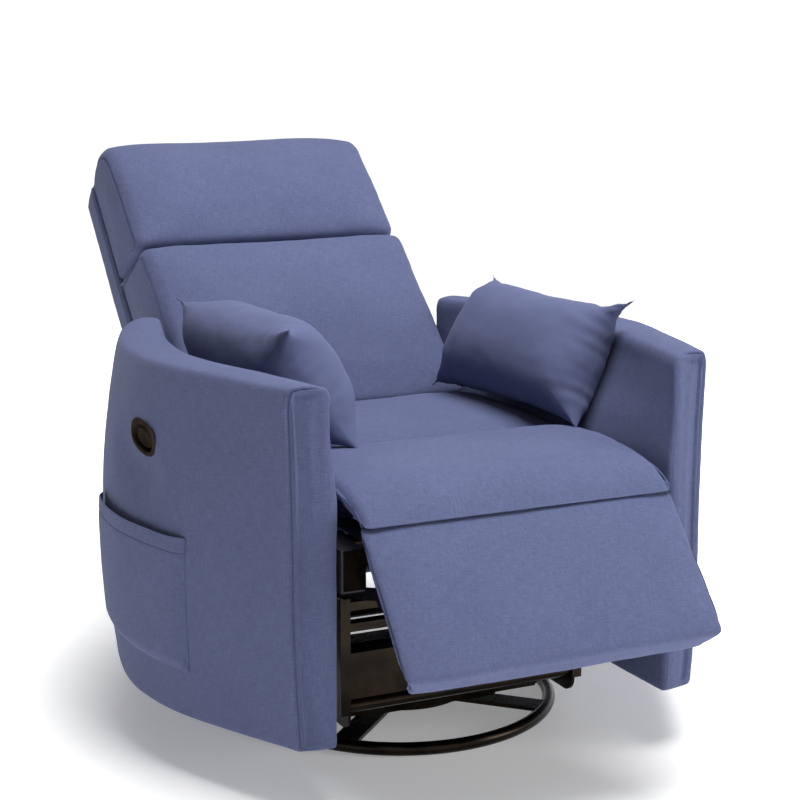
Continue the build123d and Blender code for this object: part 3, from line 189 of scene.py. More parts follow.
def worn_metal(name, colour, edge, rough, metallic=1.0, grain=60.0):
    """Painted or plated metal with cloudy gloss and a lighter tone in cloudy patches."""
    material, tree, shader = new_material(name)
    place = node(tree, "ShaderNodeTexCoord")
    cloud = node(tree, "ShaderNodeTexNoise")
    cloud.inputs["Scale"].default_value = grain
    cloud.inputs["Detail"].default_value = 6
    tree.links.new(place.outputs["Object"], cloud.inputs["Vector"])
    ramp = node(tree, "ShaderNodeValToRGB")
    ramp.color_ramp.elements[0].position = 0.35
    ramp.color_ramp.elements[0].color = (*colour, 1)
    ramp.color_ramp.elements[1].position = 0.75
    ramp.color_ramp.elements[1].color = (*edge, 1)
    link(tree, cloud, ramp)
    tree.links.new(ramp.outputs[0], shader.inputs["Base Color"])
    spread = math(tree, "MULTIPLY_ADD", cloud, 0.18, rough - 0.09)
    tree.links.new(spread.outputs[0], shader.inputs["Roughness"])
    shader.inputs["Metallic"].default_value = metallic
    fine = node(tree, "ShaderNodeTexNoise")
    fine.inputs["Scale"].default_value = 900
    tree.links.new(place.outputs["Object"], fine.inputs["Vector"])
    made = node(tree, "ShaderNodeBump")
    made.inputs["Strength"].default_value = 0.12
    made.inputs["Distance"].default_value = 0.0004
    link(tree, fine, made, 0, made.inputs.find("Height"))
    tree.links.new(made.outputs[0], shader.inputs["Normal"])
    return material


def grained_wood(name, low, high):
    material, tree, shader = new_material(name)
    place = node(tree, "ShaderNodeTexCoord")
    mapping = node(tree, "ShaderNodeMapping")
    mapping.inputs["Scale"].default_value = (60, 4, 60)
    tree.links.new(place.outputs["Object"], mapping.inputs[0])
    rings = node(tree, "ShaderNodeTexNoise")
    rings.inputs["Scale"].default_value = 1
    rings.inputs["Detail"].default_value = 5
    link(tree, mapping, rings)
    ramp = node(tree, "ShaderNodeValToRGB")
    ramp.color_ramp.elements[0].position = 0.3
    ramp.color_ramp.elements[0].color = (*low, 1)
    ramp.color_ramp.elements[1].position = 0.7
    ramp.color_ramp.elements[1].color = (*high, 1)
    link(tree, rings, ramp)
    tree.links.new(ramp.outputs[0], shader.inputs["Base Color"])
    shader.inputs["Roughness"].default_value = 0.7
    return material


CLOTH_TONES = (0.056, 0.068, 0.145), (0.079, 0.095, 0.190), (0.106, 0.125, 0.235)
COVER = woven("cover_cloth", *CLOTH_TONES)
COVER_SOLID = woven("cover_cloth_plain", *CLOTH_TONES, uv_map=False)
PILLOW_TONES = (0.070, 0.084, 0.172), (0.088, 0.104, 0.204), (0.107, 0.126, 0.236)
PILLOW = woven("pillow_cloth", *PILLOW_TONES, thread=0.0009, bump=0.2, fleck=0.45)
SEAM_TONES = (0.030, 0.038, 0.100), (0.045, 0.055, 0.130), (0.060, 0.075, 0.160)
SEAM = woven("seam_thread", *SEAM_TONES, thread=0.0009, fleck=0.5)
BRONZE = worn_metal("dark_bronze", (0.007, 0.0052, 0.0038), (0.022, 0.015, 0.0095), 0.27, 0.9, 22)
STEEL = worn_metal("plated_steel", (0.38, 0.37, 0.35), (0.55, 0.54, 0.52), 0.32)
NYLON = worn_metal("moulded_nylon", (0.02, 0.02, 0.02), (0.035, 0.035, 0.035), 0.5, 0.0, 120)
PLASTIC = worn_metal("bronze_plastic", (0.026, 0.019, 0.015), (0.052, 0.038, 0.029), 0.6, 0.0, 40)
PLASTIC.node_tree.nodes["Principled BSDF"].inputs["Specular IOR Level"].default_value = 0.0
# Near-black, slightly blue plywood: its grain is real, but its dark colour is painted shade for the seat box,
# which stands in shadow under the seat.
PLYWOOD_PAINTED_SHADE = grained_wood("plywood_painted_shade", (0.010, 0.010, 0.014), (0.026, 0.024, 0.030))
WEBBING_TONES = (0.015, 0.015, 0.017), (0.03, 0.03, 0.033), (0.05, 0.05, 0.055)
WEBBING = woven("webbing_cloth", *WEBBING_TONES, thread=0.002, uv_map=False)
SLOT_LOOKS = {
    "metal": BRONZE,
    "bare_steel": STEEL,
    "bushing": NYLON,
    "wood": PLYWOOD_PAINTED_SHADE,
    "webbing": WEBBING,
    "handle_plastic": PLASTIC,
    "upholstery": COVER_SOLID,
    "pillow_cloth": PILLOW,
}
slot_of = {row["node"]: row["material_slot"] for row in frame["record"]["subparts"]}
for name, piece in frame["nodes"].items():
    piece.data.materials.clear()
    piece.data.materials.append(SLOT_LOOKS[slot_of[name]])


# ---------------------------------------------------------------- mesh helpers
def curve_through(points, count):
    """Evenly spaced points along a smooth curve through the given ones."""
    points = np.asarray(points, float)
    ends = np.vstack([2 * points[0] - points[1], points, 2 * points[-1] - points[-2]])
    fine = []
    for n in range(1, len(ends) - 2):
        p0, p1, p2, p3 = ends[n - 1 : n + 3]
        t = np.linspace(0, 1, 24, endpoint=False)[:, None]
        square, cube = 2 * p0 - 5 * p1 + 4 * p2 - p3, 3 * p1 - p0 - 3 * p2 + p3
        fine.append(0.5 * (2 * p1 + (p2 - p0) * t + square * t**2 + cube * t**3))
    fine = np.vstack(fine + [ends[-2][None]])
    return resample(fine, count)


def resample(line, count):
    run = np.concatenate([[0], np.cumsum(np.linalg.norm(np.diff(line, axis=0), axis=1))])
    at = np.linspace(0, run[-1], count)
    return np.stack([np.interp(at, run, line[:, k]) for k in range(line.shape[1])], 1)


def inset_loop(loop, amount):
    """Closed 2-D loop drawn in along its own normals."""
    ahead = np.roll(loop, -1, 0) - np.roll(loop, 1, 0)
    ahead /= np.maximum(np.linalg.norm(ahead, axis=1), 1e-9)[:, None]
    normal = np.stack([ahead[:, 1], -ahead[:, 0]], 1)
    area = 0.5 * np.sum(loop[:, 0] * np.roll(loop[:, 1], -1) - np.roll(loop[:, 0], -1) * loop[:, 1])
    return loop - np.sign(area) * normal * amount


def cap_grid(loop, counts, rise, axis):
    """Grid that fills a closed 3-D loop of four sides, raised by rise along axis in its middle."""
    a, b = counts[0], counts[1]
    starts = np.cumsum([0] + counts[:3])
    side = [loop[(start + np.arange(size + 1)) % len(loop)] for start, size in zip(starts, counts)]
    south, east, north, west = side[0], side[1], side[2][::-1], side[3][::-1]
    s = np.linspace(0, 1, a + 1)[:, None, None]
    t = np.linspace(0, 1, b + 1)[None, :, None]
    grid = (1 - t) * south[:, None] + t * north[:, None] + (1 - s) * west[None] + s * east[None]
    grid = grid - (1 - s) * (1 - t) * south[0] - s * (1 - t) * south[-1]
    grid = grid - (1 - s) * t * north[0] - s * t * north[-1]
    swell = (4 * s * (1 - s)) ** 0.5 * (4 * t * (1 - t)) ** 0.5
    return grid + swell * rise * np.asarray(axis, float)


class Patches:
    """Grids of points gathered into one mesh, each with its own UV map in metres."""

    def __init__(self):
        self.bm = bmesh.new()
        self.uv = self.bm.loops.layers.uv.new("weave")

    def add(self, grid, closed=False):
        grid = np.asarray(grid, float) * MM
        rows, cols = grid.shape[:2]
        verts = [[self.bm.verts.new(point) for point in row] for row in grid]
        step_u = np.linalg.norm(np.diff(grid, axis=0), axis=2).mean(1)
        ring = np.concatenate([grid, grid[:, :1]], 1) if closed else grid
        step_v = np.linalg.norm(np.diff(ring, axis=1), axis=2).mean(0)
        u = np.concatenate([[0], np.cumsum(step_u)])
        v = np.concatenate([[0], np.cumsum(step_v)])
        for i in range(rows - 1):
            for j in range(cols if closed else cols - 1):
                k = (j + 1) % cols
                corners = ((i, j, j), (i + 1, j, j), (i + 1, k, j + 1), (i, k, j + 1))
                try:
                    face = self.bm.faces.new([verts[a][b] for a, b, _ in corners])
                except ValueError:
                    continue
                face.smooth = True
                for loop, (a, _, c) in zip(face.loops, corners):
                    loop[self.uv].uv = (u[a], v[c])

    def finish(self, name, material, weld=2e-5):
        bmesh.ops.remove_doubles(self.bm, verts=self.bm.verts, dist=weld)
        loose = [face for face in self.bm.faces if face.calc_area() < 1e-12]
        bmesh.ops.delete(self.bm, geom=loose, context="FACES_ONLY")
        bmesh.ops.recalc_face_normals(self.bm, faces=self.bm.faces)
        mesh = bpy.data.meshes.new(name)
        self.bm.to_mesh(mesh)
        self.bm.free()
        piece = bpy.data.objects.new(name, mesh)
        scene.collection.objects.link(piece)
        mesh.materials.append(material)
        return piece


def points_of(piece):
    flat = np.empty(len(piece.data.vertices) * 3)
    piece.data.vertices.foreach_get("co", flat)
    return flat.reshape(-1, 3)


def normals_of(piece):
    flat = np.empty(len(piece.data.vertices) * 3)
    piece.data.vertices.foreach_get("normal", flat)
    return flat.reshape(-1, 3)


def put_points(piece, points):
    piece.data.vertices.foreach_set("co", np.asarray(points, float).ravel())
    piece.data.update()


def applied(piece, kind, **values):
    """Adds a modifier and applies it."""
    modifier = piece.modifiers.new(kind.lower(), kind)
    for key, value in values.items():
        setattr(modifier, key, value)
    graph = bpy.context.evaluated_depsgraph_get()
    mesh = bpy.data.meshes.new_from_object(piece.evaluated_get(graph))
    piece.modifiers.clear()
    old = piece.data
    piece.data = mesh
    bpy.data.meshes.remove(old)
    mesh.name = piece.name


def sub(piece, levels=1):
    applied(piece, "SUBSURF", levels=levels, render_levels=levels, use_limit_surface=False)


def neighbours(piece):
    edges = np.empty(len(piece.data.edges) * 2, int)
    piece.data.edges.foreach_get("vertices", edges)
    return edges.reshape(-1, 2)


def smoothed(values, edges, rounds):
    """Values on vertices averaged with their neighbours."""
    values = values.copy()
    count = np.bincount(edges.ravel(), minlength=len(values)).astype(float)
    for _ in range(rounds):
        total = np.zeros_like(values)
        np.add.at(total, edges[:, 0], values[edges[:, 1]])
        np.add.at(total, edges[:, 1], values[edges[:, 0]])
        values = 0.4 * values + 0.6 * total / np.maximum(count, 1)
    return values


SWELL_FRAMES = 20


def inflate(piece, cap, shrink, pressure=4.0, voxel=0.006, keep=1.0, hold=None):
    """Cloth under pressure swells a remeshed copy, and the piece takes the swell's shape."""
    copy = bpy.data.objects.new(piece.name + "_sim", piece.data.copy())
    scene.collection.objects.link(copy)
    applied(copy, "REMESH", mode="VOXEL", voxel_size=voxel, use_smooth_shade=True)
    start = points_of(copy) - normals_of(copy) * shrink
    put_points(copy, start)
    cloth = copy.modifiers.new("cloth", "CLOTH")
    settings = cloth.settings
    settings.quality = 4
    settings.mass = 0.3
    settings.tension_stiffness = 12
    settings.compression_stiffness = 12
    settings.shear_stiffness = 6
    settings.bending_stiffness = 0.6
    settings.use_pressure = True
    settings.uniform_pressure_force = pressure
    settings.effector_weights.gravity = 0
    cloth.collision_settings.use_collision = False
    cloth.point_cache.frame_start = 1
    cloth.point_cache.frame_end = SWELL_FRAMES
    for step in range(1, SWELL_FRAMES + 1):
        scene.frame_set(step)
    graph = bpy.context.evaluated_depsgraph_get()
    swollen = bpy.data.meshes.new_from_object(copy.evaluated_get(graph))
    copy.modifiers.clear()
    scene.frame_set(1)
    end = np.empty(len(swollen.vertices) * 3)
    swollen.vertices.foreach_get("co", end)
    end = end.reshape(-1, 3)
    move = end - start
    length = np.linalg.norm(move, axis=1)
    move *= (np.minimum(length, cap) / np.maximum(length, 1e-9))[:, None]
    swollen.vertices.foreach_set("co", (start + move).ravel())
    swollen.update()
    polygons = [tuple(p.vertices) for p in swollen.polygons]
    tree = BVHTree.FromPolygons([Vector(p) for p in start + move], polygons)
    points, normals = points_of(piece), normals_of(piece)
    shift = np.zeros(len(points))
    for n, (point, normal) in enumerate(zip(points, normals)):
        here, _, _, away = tree.find_nearest(Vector(point), 0.05)
        if here is not None:
            shift[n] = (Vector(here) - Vector(point)).dot(Vector(normal))
    shift = smoothed(np.clip(shift, -cap, cap), neighbours(piece), 4)
    if hold is not None:
        shift *= hold(points)
    put_points(piece, points + normals * (shift * keep)[:, None])
    bpy.data.objects.remove(copy)
    bpy.data.meshes.remove(swollen)


def ripple(piece, amount, size, seed):
    """Slow unevenness of a stuffed cover, along its own normals."""
    points, normals = points_of(piece), normals_of(piece)
    offset = np.array([seed, seed * 0.7, -seed])
    places = points / size + offset
    values = np.array([noise.fractal(Vector(place), 0.8, 2.0, 2) for place in places])
    put_points(piece, points + normals * (values * amount)[:, None])


def near(points, line):
    """Distance of each point to a line of samples, and how far along the line it lies."""
    line = np.asarray(line, float)
    best = np.full(len(points), 9.0)
    along = np.zeros(len(points))
    run = np.concatenate([[0], np.cumsum(np.linalg.norm(np.diff(line, axis=0), axis=1))])
    for n in range(len(line) - 1):
        a, b = line[n], line[n + 1]
        ab = b - a
        size = ab @ ab
        if size < 1e-14:
            continue
        t = np.clip((points - a) @ ab / size, 0, 1)
        gap = np.linalg.norm(points - (a + t[:, None] * ab), axis=1)
        closer = gap < best
        best[closer] = gap[closer]
        along[closer] = run[n] + t[closer] * sqrt(size)
    return best, along


def stitch_in(piece, lines, depth=0.0022, width=0.0024, pucker=0.0006, reach=0.028, pitch=0.017, seed=1.0):
    """Seam valleys with the small pulls that a seam makes beside it."""
    points, normals = points_of(piece), normals_of(piece)
    shift = np.zeros(len(points))
    for k, line in enumerate(lines):
        gap, along = near(points, line)
        shift -= depth * np.exp(-((gap / width) ** 2))
        places = [Vector((a / pitch, seed + k * 3.1, g / 0.05)) for a, g in zip(along, gap)]
        wave = np.array([noise.noise(place) for place in places])
        shift += pucker * wave * np.exp(-gap / reach) * (1 - np.exp(-gap / 0.003))
    put_points(piece, points + normals * shift[:, None])


def seam_line(name, piece, line, body, radius=0.0007):
    """Thin dark thread that lies in a seam valley of a piece."""
    tree = BVHTree.FromObject(piece, bpy.context.evaluated_depsgraph_get())
    length = np.sum(np.linalg.norm(np.diff(line, axis=0), axis=1))
    line = resample(np.asarray(line, float), max(8, int(length / 0.004)))
    curve = bpy.data.curves.new(name, "CURVE")
    curve.dimensions = "3D"
    curve.bevel_depth = radius
    curve.bevel_resolution = 2
    spline = curve.splines.new("POLY")
    spline.points.add(len(line) - 1)
    for point, place in zip(spline.points, line):
        here, normal, _, _ = tree.find_nearest(Vector(place))
        inside = Vector(here) - Vector(normal) * radius * 0.2
        point.co = (*inside, 1)
    made = bpy.data.objects.new(name, curve)
    scene.collection.objects.link(made)
    graph = bpy.context.evaluated_depsgraph_get()
    mesh = bpy.data.meshes.new_from_object(made.evaluated_get(graph))
    bpy.data.objects.remove(made)
    bpy.data.curves.remove(curve)
    mesh.name = name
    if not mesh.uv_layers:
        mesh.uv_layers.new(name="weave")
    mesh.uv_layers[0].name = "weave"
    mesh.materials.clear()
    mesh.materials.append(SEAM)
    made = bpy.data.objects.new(name, mesh)
    scene.collection.objects.link(made)
    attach(made, body)


def lofted(name, section, stations, place, end_round, cap_rise):
    """Closed cover whose sections are four-sided loops across one axis.

    section(at) gives the loop's 2-D points and its four side counts, and place(at, loop)
    puts it in the chair.  stations go from end to end.  Near each end the loop is drawn
    in on a quarter round, and a raised panel closes it.  Returns the piece, the two seam
    lines where the panels meet, and the side counts.
    """
    low, high = stations[0], stations[-1]
    turns = np.radians([80, 62, 45, 28, 12, 0])
    rows = []
    r0, r1 = end_round
    for turn in turns:
        rows.append((low + r0 - r0 * sin(turn), r0 * (1 - cos(turn))))
    for at in stations[1:-1]:
        if low + r0 + 2 < at < high - r1 - 2:
            rows.append((at, 0.0))
    for turn in turns[::-1]:
        rows.append((high - r1 + r1 * sin(turn), r1 * (1 - cos(turn))))
    loops = []
    for at, draw in rows:
        loop, counts = section(at)
        loops.append(place(at, inset_loop(loop, draw)))
    patches = Patches()
    body = np.stack(loops)
    patches.add(body, closed=True)
    outward = loops[0].mean(0) - loops[-1].mean(0)
    outward = outward / np.linalg.norm(outward)
    patches.add(cap_grid(loops[0], counts, cap_rise, outward))
    patches.add(cap_grid(loops[-1], counts, cap_rise, -outward))
    piece = patches.finish(name, COVER)
    return piece, loops[0] * MM, loops[-1] * MM, counts


def loop_part(loop, first, last):
    """Stretch of a closed loop between two places."""
    count = len(loop)
    if last <= first:
        last += count
    return loop[np.arange(first, last + 1) % count]


def turn_x(y, z, y0, z0, angle):
    c, s = cos(radians(angle)), sin(radians(angle))
    return y0 + y * c - z * s, z0 + y * s + z * c


# ---------------------------------------------------------------- back cushions
PIVOT = (300.0, 400.0)
RECLINE = 45.0
BACK_HALF = 257.0
CUSHION_BACK = 118.0  # plane where the cushions meet the board
SHELL_FRONT, SHELL_REAR = 121.0, 183.0


def back_place(x, loop):
    y, z = turn_x(loop[:, 0], loop[:, 1], *PIVOT, -RECLINE)
    return np.stack([np.full(len(loop), x), y, z], 1)


def swell_at(x, half, power=8):
    return 1 - min(1.0, abs(x) / half) ** power


def four_sides(first, second, third, fourth, counts):
    """Closed loop from four side curves, each given by its points."""
    sides = []
    for points, count in zip((first, second, third, fourth), counts):
        sides.append(curve_through(points, count + 1)[:-1])
    return np.vstack(sides)


def lumbar_section(x):
    s = swell_at(x, BACK_HALF)
    draw = 10 * (1 - s)
    front = -58.0 - 6 * s
    low = 6 + 0.6 * draw
    counts = [14, 44, 14, 44]
    bottom = [(CUSHION_BACK, 84.0), (60, 46 + 0.3 * draw), (front + 12, low)]
    ahead = [
        (front + 12, low),
        (front, low + 16),
        (front + 1 - 9 * s, 120),
        (front + 4 - 14 * s, 204),
        (front + 11 - 13 * s, 300),
        (front + 17 - 11 * s, 356),
        (front + 23 - 8 * s, 381),
        (front + 38, 395),
    ]
    top = [(front + 38, 395), (front + 62, 399.5), (40, 410.5), (80, 420.5), (CUSHION_BACK, 430.0)]
    rear = [(CUSHION_BACK, 430.0), (CUSHION_BACK, 260.0), (CUSHION_BACK, 84.0)]
    return four_sides(bottom, ahead, top, rear, counts), counts


def head_section(x):
    s = swell_at(x, BACK_HALF)
    draw = 10 * (1 - s)
    front = -20.0 - 8 * s
    high = 689 - 0.9 * draw
    counts = [16, 36, 16, 36]
    bottom = [(CUSHION_BACK, 433.0), (80, 423.5), (40, 413.5), (front + 24, 402)]
    ahead = [
        (front + 24, 402),
        (front + 7, 404),
        (front - 5, 416),
        (front - 4 - 7 * s, 450),
        (front - 2 - 12 * s, 520),
        (front + 4 - 8 * s, 590),
        (front + 16 - 3 * s, 640),
        (front + 40, high - 14),
    ]
    top = [(front + 40, high - 14), (front + 62, high - 3), (60, high), (90, high - 6), (CUSHION_BACK, 660.0)]
    rear = [(CUSHION_BACK, 660.0), (CUSHION_BACK, 540.0), (CUSHION_BACK, 433.0)]
    return four_sides(bottom, ahead, top, rear, counts), counts


def stations(half, count=27):
    return np.linspace(-half, half, count)


def back_hold(points):
    """No swell where a back cushion lies on its board, full swell from 5 cm ahead of it."""
    y, z = points[:, 1] / MM - PIVOT[0], points[:, 2] / MM - PIVOT[1]
    c = cos(radians(RECLINE))
    depth = CUSHION_BACK - (y * c - z * c)
    return np.clip((depth - 12) / 40, 0, 1)


def back_cushion(name, section, node_name, seed):
    piece, left, right, counts = lofted(name, section, stations(BACK_HALF), back_place, (17, 17), 3.0)
    sub(piece)
    inflate(piece, cap=0.016, shrink=0.002, keep=0.25, hold=back_hold)
    first, last = counts[0] - 2, counts[0] + counts[1] + counts[2]
    seams = [loop_part(left, first, last), loop_part(right, first, last)]
    stitch_in(piece, seams, seed=seed)
    ripple(piece, 0.0016, 0.16, seed)
    ripple(piece, 0.0005, 0.045, seed + 5)
    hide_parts(node_name)
    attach(piece, "back")
    for side, line in zip(("left", "right"), seams):
        seam_line(f"{name}_seam_{side}", piece, line, "back")


back_cushion("lumbar_cover", lumbar_section, "lumbar_cushion", 2.0)
back_cushion("headrest_cover", head_section, "headrest_cushion", 7.0)


def shell_section(x):
    counts = [8, 30, 8, 30]
    bottom = [(SHELL_REAR, 80.0), (152, 78), (SHELL_FRONT, 80.0)]
    ahead = [(SHELL_FRONT, 80.0), (SHELL_FRONT, 370), (SHELL_FRONT, 668.0)]
    top = [(SHELL_FRONT, 668.0), (152, 670), (SHELL_REAR, 664.0)]
    rear = [(SHELL_REAR, 664.0), (SHELL_REAR + 2, 370), (SHELL_REAR, 80.0)]
    return four_sides(bottom, ahead, top, rear, counts), counts


def back_shell():
    piece, left, right, counts = lofted(
        "back_shell_cover", shell_section, stations(BACK_HALF, 21), back_place, (12, 12), 1.5
    )
    sub(piece)
    ripple(piece, 0.0008, 0.2, 3.0)
    first = counts[0] + counts[1] + counts[2] - 2
    seams = [loop_part(loop, first, len(loop) + counts[0]) for loop in (left, right)]
    stitch_in(piece, seams, depth=0.0016, seed=9)
    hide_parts("back_shell")
    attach(piece, "back")
    for side, line in zip(("left", "right"), seams):
        seam_line(f"back_shell_seam_{side}", piece, line, "back")


back_shell()


# ---------------------------------------------------------------- seat cushions
SEAT_HALF = 256.0
BOLSTER_HALF = 249.0
SEAT_UNDER = 388


def straight_place(x, loop):
    return np.stack([np.full(len(loop), x), loop[:, 0], loop[:, 1]], 1)


def seat_section(x):
    s = swell_at(x, SEAT_HALF)
    draw = 8 * (1 - s)
    top = 458 - draw
    crown = 12 * (0.4 + 0.6 * s)
    front = -94.0
    counts = [10, 34, 10, 34]
    ahead = [(front, SEAT_UNDER), (front - 1, 425), (front + 1, top - 9)]
    over = [
        (front + 1, top - 9),
        (front + 12, top + 0.15 * crown),
        (front + 70, top + 0.75 * crown),
        (60, top + crown),
        (150, top + 0.85 * crown),
        (215, top + 0.3 * crown),
        (236, top - 8),
    ]
    rear = [(236, top - 8), (234, 420), (232, SEAT_UNDER)]
    under = [(232, SEAT_UNDER), (70, SEAT_UNDER - 1), (front, SEAT_UNDER)]
    return four_sides(ahead, over, rear, under, counts), counts


# The bolster's top from its crown down to its nose, as places along Y and heights
CROWN_Y, CROWN_Z = (-290, -335, -372, -398, -414, -420), (474, 469, 460, 447, 433, 424.5)


def bolster_section(x):
    s = swell_at(x, BOLSTER_HALF)
    draw = 3 * (1 - s)
    lift = 4 * s - draw
    counts = [12, 46, 12, 46]
    rear = [(-95.5, SEAT_UNDER), (-95, 425), (-97, 452 - draw)]
    over = [
        (-97, 452 - draw),
        (-106, 462 - draw),
        (-140, 470 + lift),
        (-190, 474 + lift),
        (-240, 476 + lift),
    ]
    over += [(y, z + share * lift) for y, z, share in zip(CROWN_Y, CROWN_Z, (1, 1, 0.8, 0.6, 0, 0))]
    nose = [(-420, 424.5), (-411, 426.6), (-400, 428.3), (-388, 425), (-377, 414), (-372, 400)]
    nose += [(-372, SEAT_UNDER)]
    under = [(-372, SEAT_UNDER), (-235, SEAT_UNDER - 1), (-95.5, SEAT_UNDER)]
    return four_sides(rear, over, nose, under, counts), counts


def taper_ends(piece, half, share):
    """Draws a cushion's ends in where share(points) says, so that its sides lean inward."""
    points = points_of(piece)
    x = points[:, 0] / MM
    end = np.clip((np.abs(x) - (half - 110)) / 110, 0, 1)
    points[:, 0] -= np.sign(x) * share(points) * end * MM
    put_points(piece, points)


def bolster_taper(points):
    """A bolster is stuffed as a roll, so its lower edges turn in."""
    crown = np.interp(points[:, 1], np.array(CROWN_Y[::-1]) * MM, np.array(CROWN_Z[::-1]) * MM)
    low = np.clip((crown - 0.020 - points[:, 2]) / 0.022, 0, 1)
    return 62 * low * (2 - low) * np.clip((-points[:, 1] - 0.14) / 0.12, 0, 1)


def top_hold(points):
    return np.clip((points[:, 2] - 0.40) / 0.03, 0, 1)


def seat_piece(
    name, section, half, node_name, seed, radius, span,
    body="seat", place=straight_place, hold=top_hold, taper=None,
):
    """Stuffed cushion with a seam down each side; span(counts) says which part of the loop it follows."""
    piece, left, right, counts = lofted(name, section, stations(half), place, (radius, radius), 3.0)
    sub(piece)
    inflate(piece, cap=0.016, shrink=0.002, keep=0.15, hold=hold)
    first, last = span(counts)
    seams = [loop_part(left, first, last), loop_part(right, first, last)]
    if taper is not None:
        taper_ends(piece, half, taper)
        for line in seams:
            line[:, 0] -= np.sign(line[:, 0]) * taper(line) * MM
    stitch_in(piece, seams, seed=seed)
    ripple(piece, 0.0014, 0.17, seed)
    ripple(piece, 0.0005, 0.045, seed + 5)
    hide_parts(node_name)
    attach(piece, body)
    for side, line in zip(("left", "right"), seams):
        seam_line(f"{name}_seam_{side}", piece, line, body)


def over_span(counts):
    return counts[0], counts[0] + counts[1]


seat_piece("seat_cover", seat_section, SEAT_HALF, "seat_cushion", 4.0, 14, over_span)
seat_piece(
    "seat_front_cover", bolster_section, BOLSTER_HALF, "seat_bolster", 11.0, 13, over_span,
    taper=bolster_taper,
)


# ---------------------------------------------------------------- legrest pad
LEG_PIVOT = (-400.0, 400.0)
LEG_RAISED = 41.5
LEG_HALF = 251.0


def leg_place(x, loop):
    y, z = turn_x(loop[:, 0], loop[:, 1], *LEG_PIVOT, -LEG_RAISED)
    return np.stack([np.full(len(loop), x), y, z], 1)


def leg_section(x):
    s = swell_at(x, LEG_HALF, 10)
    draw = 3 * (1 - s)
    front = -27.1 + draw
    top = 27.1 - draw
    low = -222 + draw
    bulge = 3 + 4 * s
    counts = [12, 34, 12, 34]
    crest = [(0, top), (-10, top - 2.2), (-19, top - 8), (front + 1.6, 10), (front - 0.5, 0)]
    ahead = [
        (front - 0.5, 0),
        (front - 0.75 * bulge, -45),
        (front - bulge, -105),
        (front - 0.8 * bulge, -165),
        (front - 1, low + 10),
    ]
    foot = [(front - 1, low + 10), (front + 3, low + 3), (front + 12, low), (10, low + 1), (22, low + 3)]
    rear = [(22, low + 3), (20, low + 14), (9.8, low + 18), (9.6, -100), (9.6, 8), (0, top)]
    return four_sides(crest, ahead, foot, rear, counts), counts


def leg_across(points):
    """How far behind the pad's middle plane points lie, and how far up it."""
    y, z = points[:, 1] / MM - LEG_PIVOT[0], points[:, 2] / MM - LEG_PIVOT[1]
    c, s = cos(radians(LEG_RAISED)), sin(radians(LEG_RAISED))
    return y * c - z * s, y * s + z * c


def leg_taper(points):
    """The pad's cover is drawn round to a narrower back."""
    across, _ = leg_across(points)
    return 17 * np.clip((across + 20) / 26, 0, 1)


def leg_hold(points):
    across, up = leg_across(points)
    return np.clip((8 - across) / 18, 0, 1) * np.clip((-up - 2) / 25, 0, 1)


seat_piece(
    "legrest_cover", leg_section, LEG_HALF, "legrest_pad", 15.0, 8,
    lambda c: (0, c[0] + c[1] + c[2] - 3), "legrest", leg_place, leg_hold, leg_taper,
)


# ---------------------------------------------------------------- arms
# Half widths of an arm at the places ARM_Y along the chair: outside near the floor, at
# the belly and at the rim, and inside at the rim
ARM_Y = (-371, -275, -174, -85, 10, 105, 215, 325, 412)
OUTER_LOW = (326, 374, 422, 449, 457, 446, 415, 372, 322)
OUTER_MID = (334, 382, 430, 457, 470, 462, 434, 380, 324)
OUTER_RIM = (339, 368, 394, 418, 429, 423, 402, 365, 320)
INNER_RIM = (281, 295, 316, 337, 345, 337, 318, 288, 263)
ARM_LOW, ARM_RIM, ARM_TOP, ARM_FLARE = 95.0, 590.0, 620.0, 430.0
ARM_INSIDE = 263.0  # half width between the arms below the flare
ARM_FALL = 0.030  # the top edge falls this much for each millimetre rearward


def edge_curve(widths):
    fine = curve_through(list(zip(widths, ARM_Y)), 200)
    return fine[:, 1], fine[:, 0]


EDGES = {
    "low": edge_curve(OUTER_LOW),
    "mid": edge_curve(OUTER_MID),
    "rim": edge_curve(OUTER_RIM),
    "inner": edge_curve(INNER_RIM),
}


def edge_at(name, y):
    ys, xs = EDGES[name]
    return float(np.interp(y, ys, xs))


def outer_x(y, z):
    belly = ARM_LOW + 0.45 * (ARM_RIM - ARM_LOW)
    if z < belly:
        share = sin(pi / 2 * max(0.0, z - ARM_LOW) / (belly - ARM_LOW))
        return edge_at("low", y) + (edge_at("mid", y) - edge_at("low", y)) * share
    share = min(1.0, (z - belly) / (ARM_RIM - belly)) ** 2
    return edge_at("mid", y) + (edge_at("rim", y) - edge_at("mid", y)) * share


def inner_x(y, z):
    share = min(1.0, max(0.0, (z - ARM_FLARE) / (ARM_RIM - ARM_FLARE)))
    share = share * share * (3 - 2 * share)
    return ARM_INSIDE + (edge_at("inner", y) - ARM_INSIDE) * share


def arm_section(y):
    counts = [12, 44, 12, 44]
    y = min(ARM_Y[-1] - 0.1, max(ARM_Y[0] + 0.1, y))
    top = ARM_TOP - ARM_FALL * (y - ARM_Y[0])
    xi, xo = edge_at("inner", y), edge_at("rim", y)
    heights = np.linspace(ARM_LOW + 4, top - 34, 12)
    low_in, low_out = inner_x(y, ARM_LOW), outer_x(y, ARM_LOW)
    under = [(low_in, ARM_LOW + 4), (low_in + 7, ARM_LOW), (low_out - 7, ARM_LOW), (low_out, ARM_LOW + 4)]
    outer = [(outer_x(y, z), z) for z in heights] + [(xo - 0.5, top - 14), (xo - 4, top - 4)]
    over = [(xo - 4, top - 4), (xo - 11, top), ((xi + xo) / 2, top + 2.5), (xi + 11, top), (xi + 4, top - 4)]
    inner = [(xi + 4, top - 4), (xi + 0.5, top - 14)] + [(inner_x(y, z), z) for z in heights[::-1]]
    return four_sides(under, outer, over, inner, counts), counts


HANDLE_TILT = radians(34)  # from the solid oval's short way to the long way of the oval shown


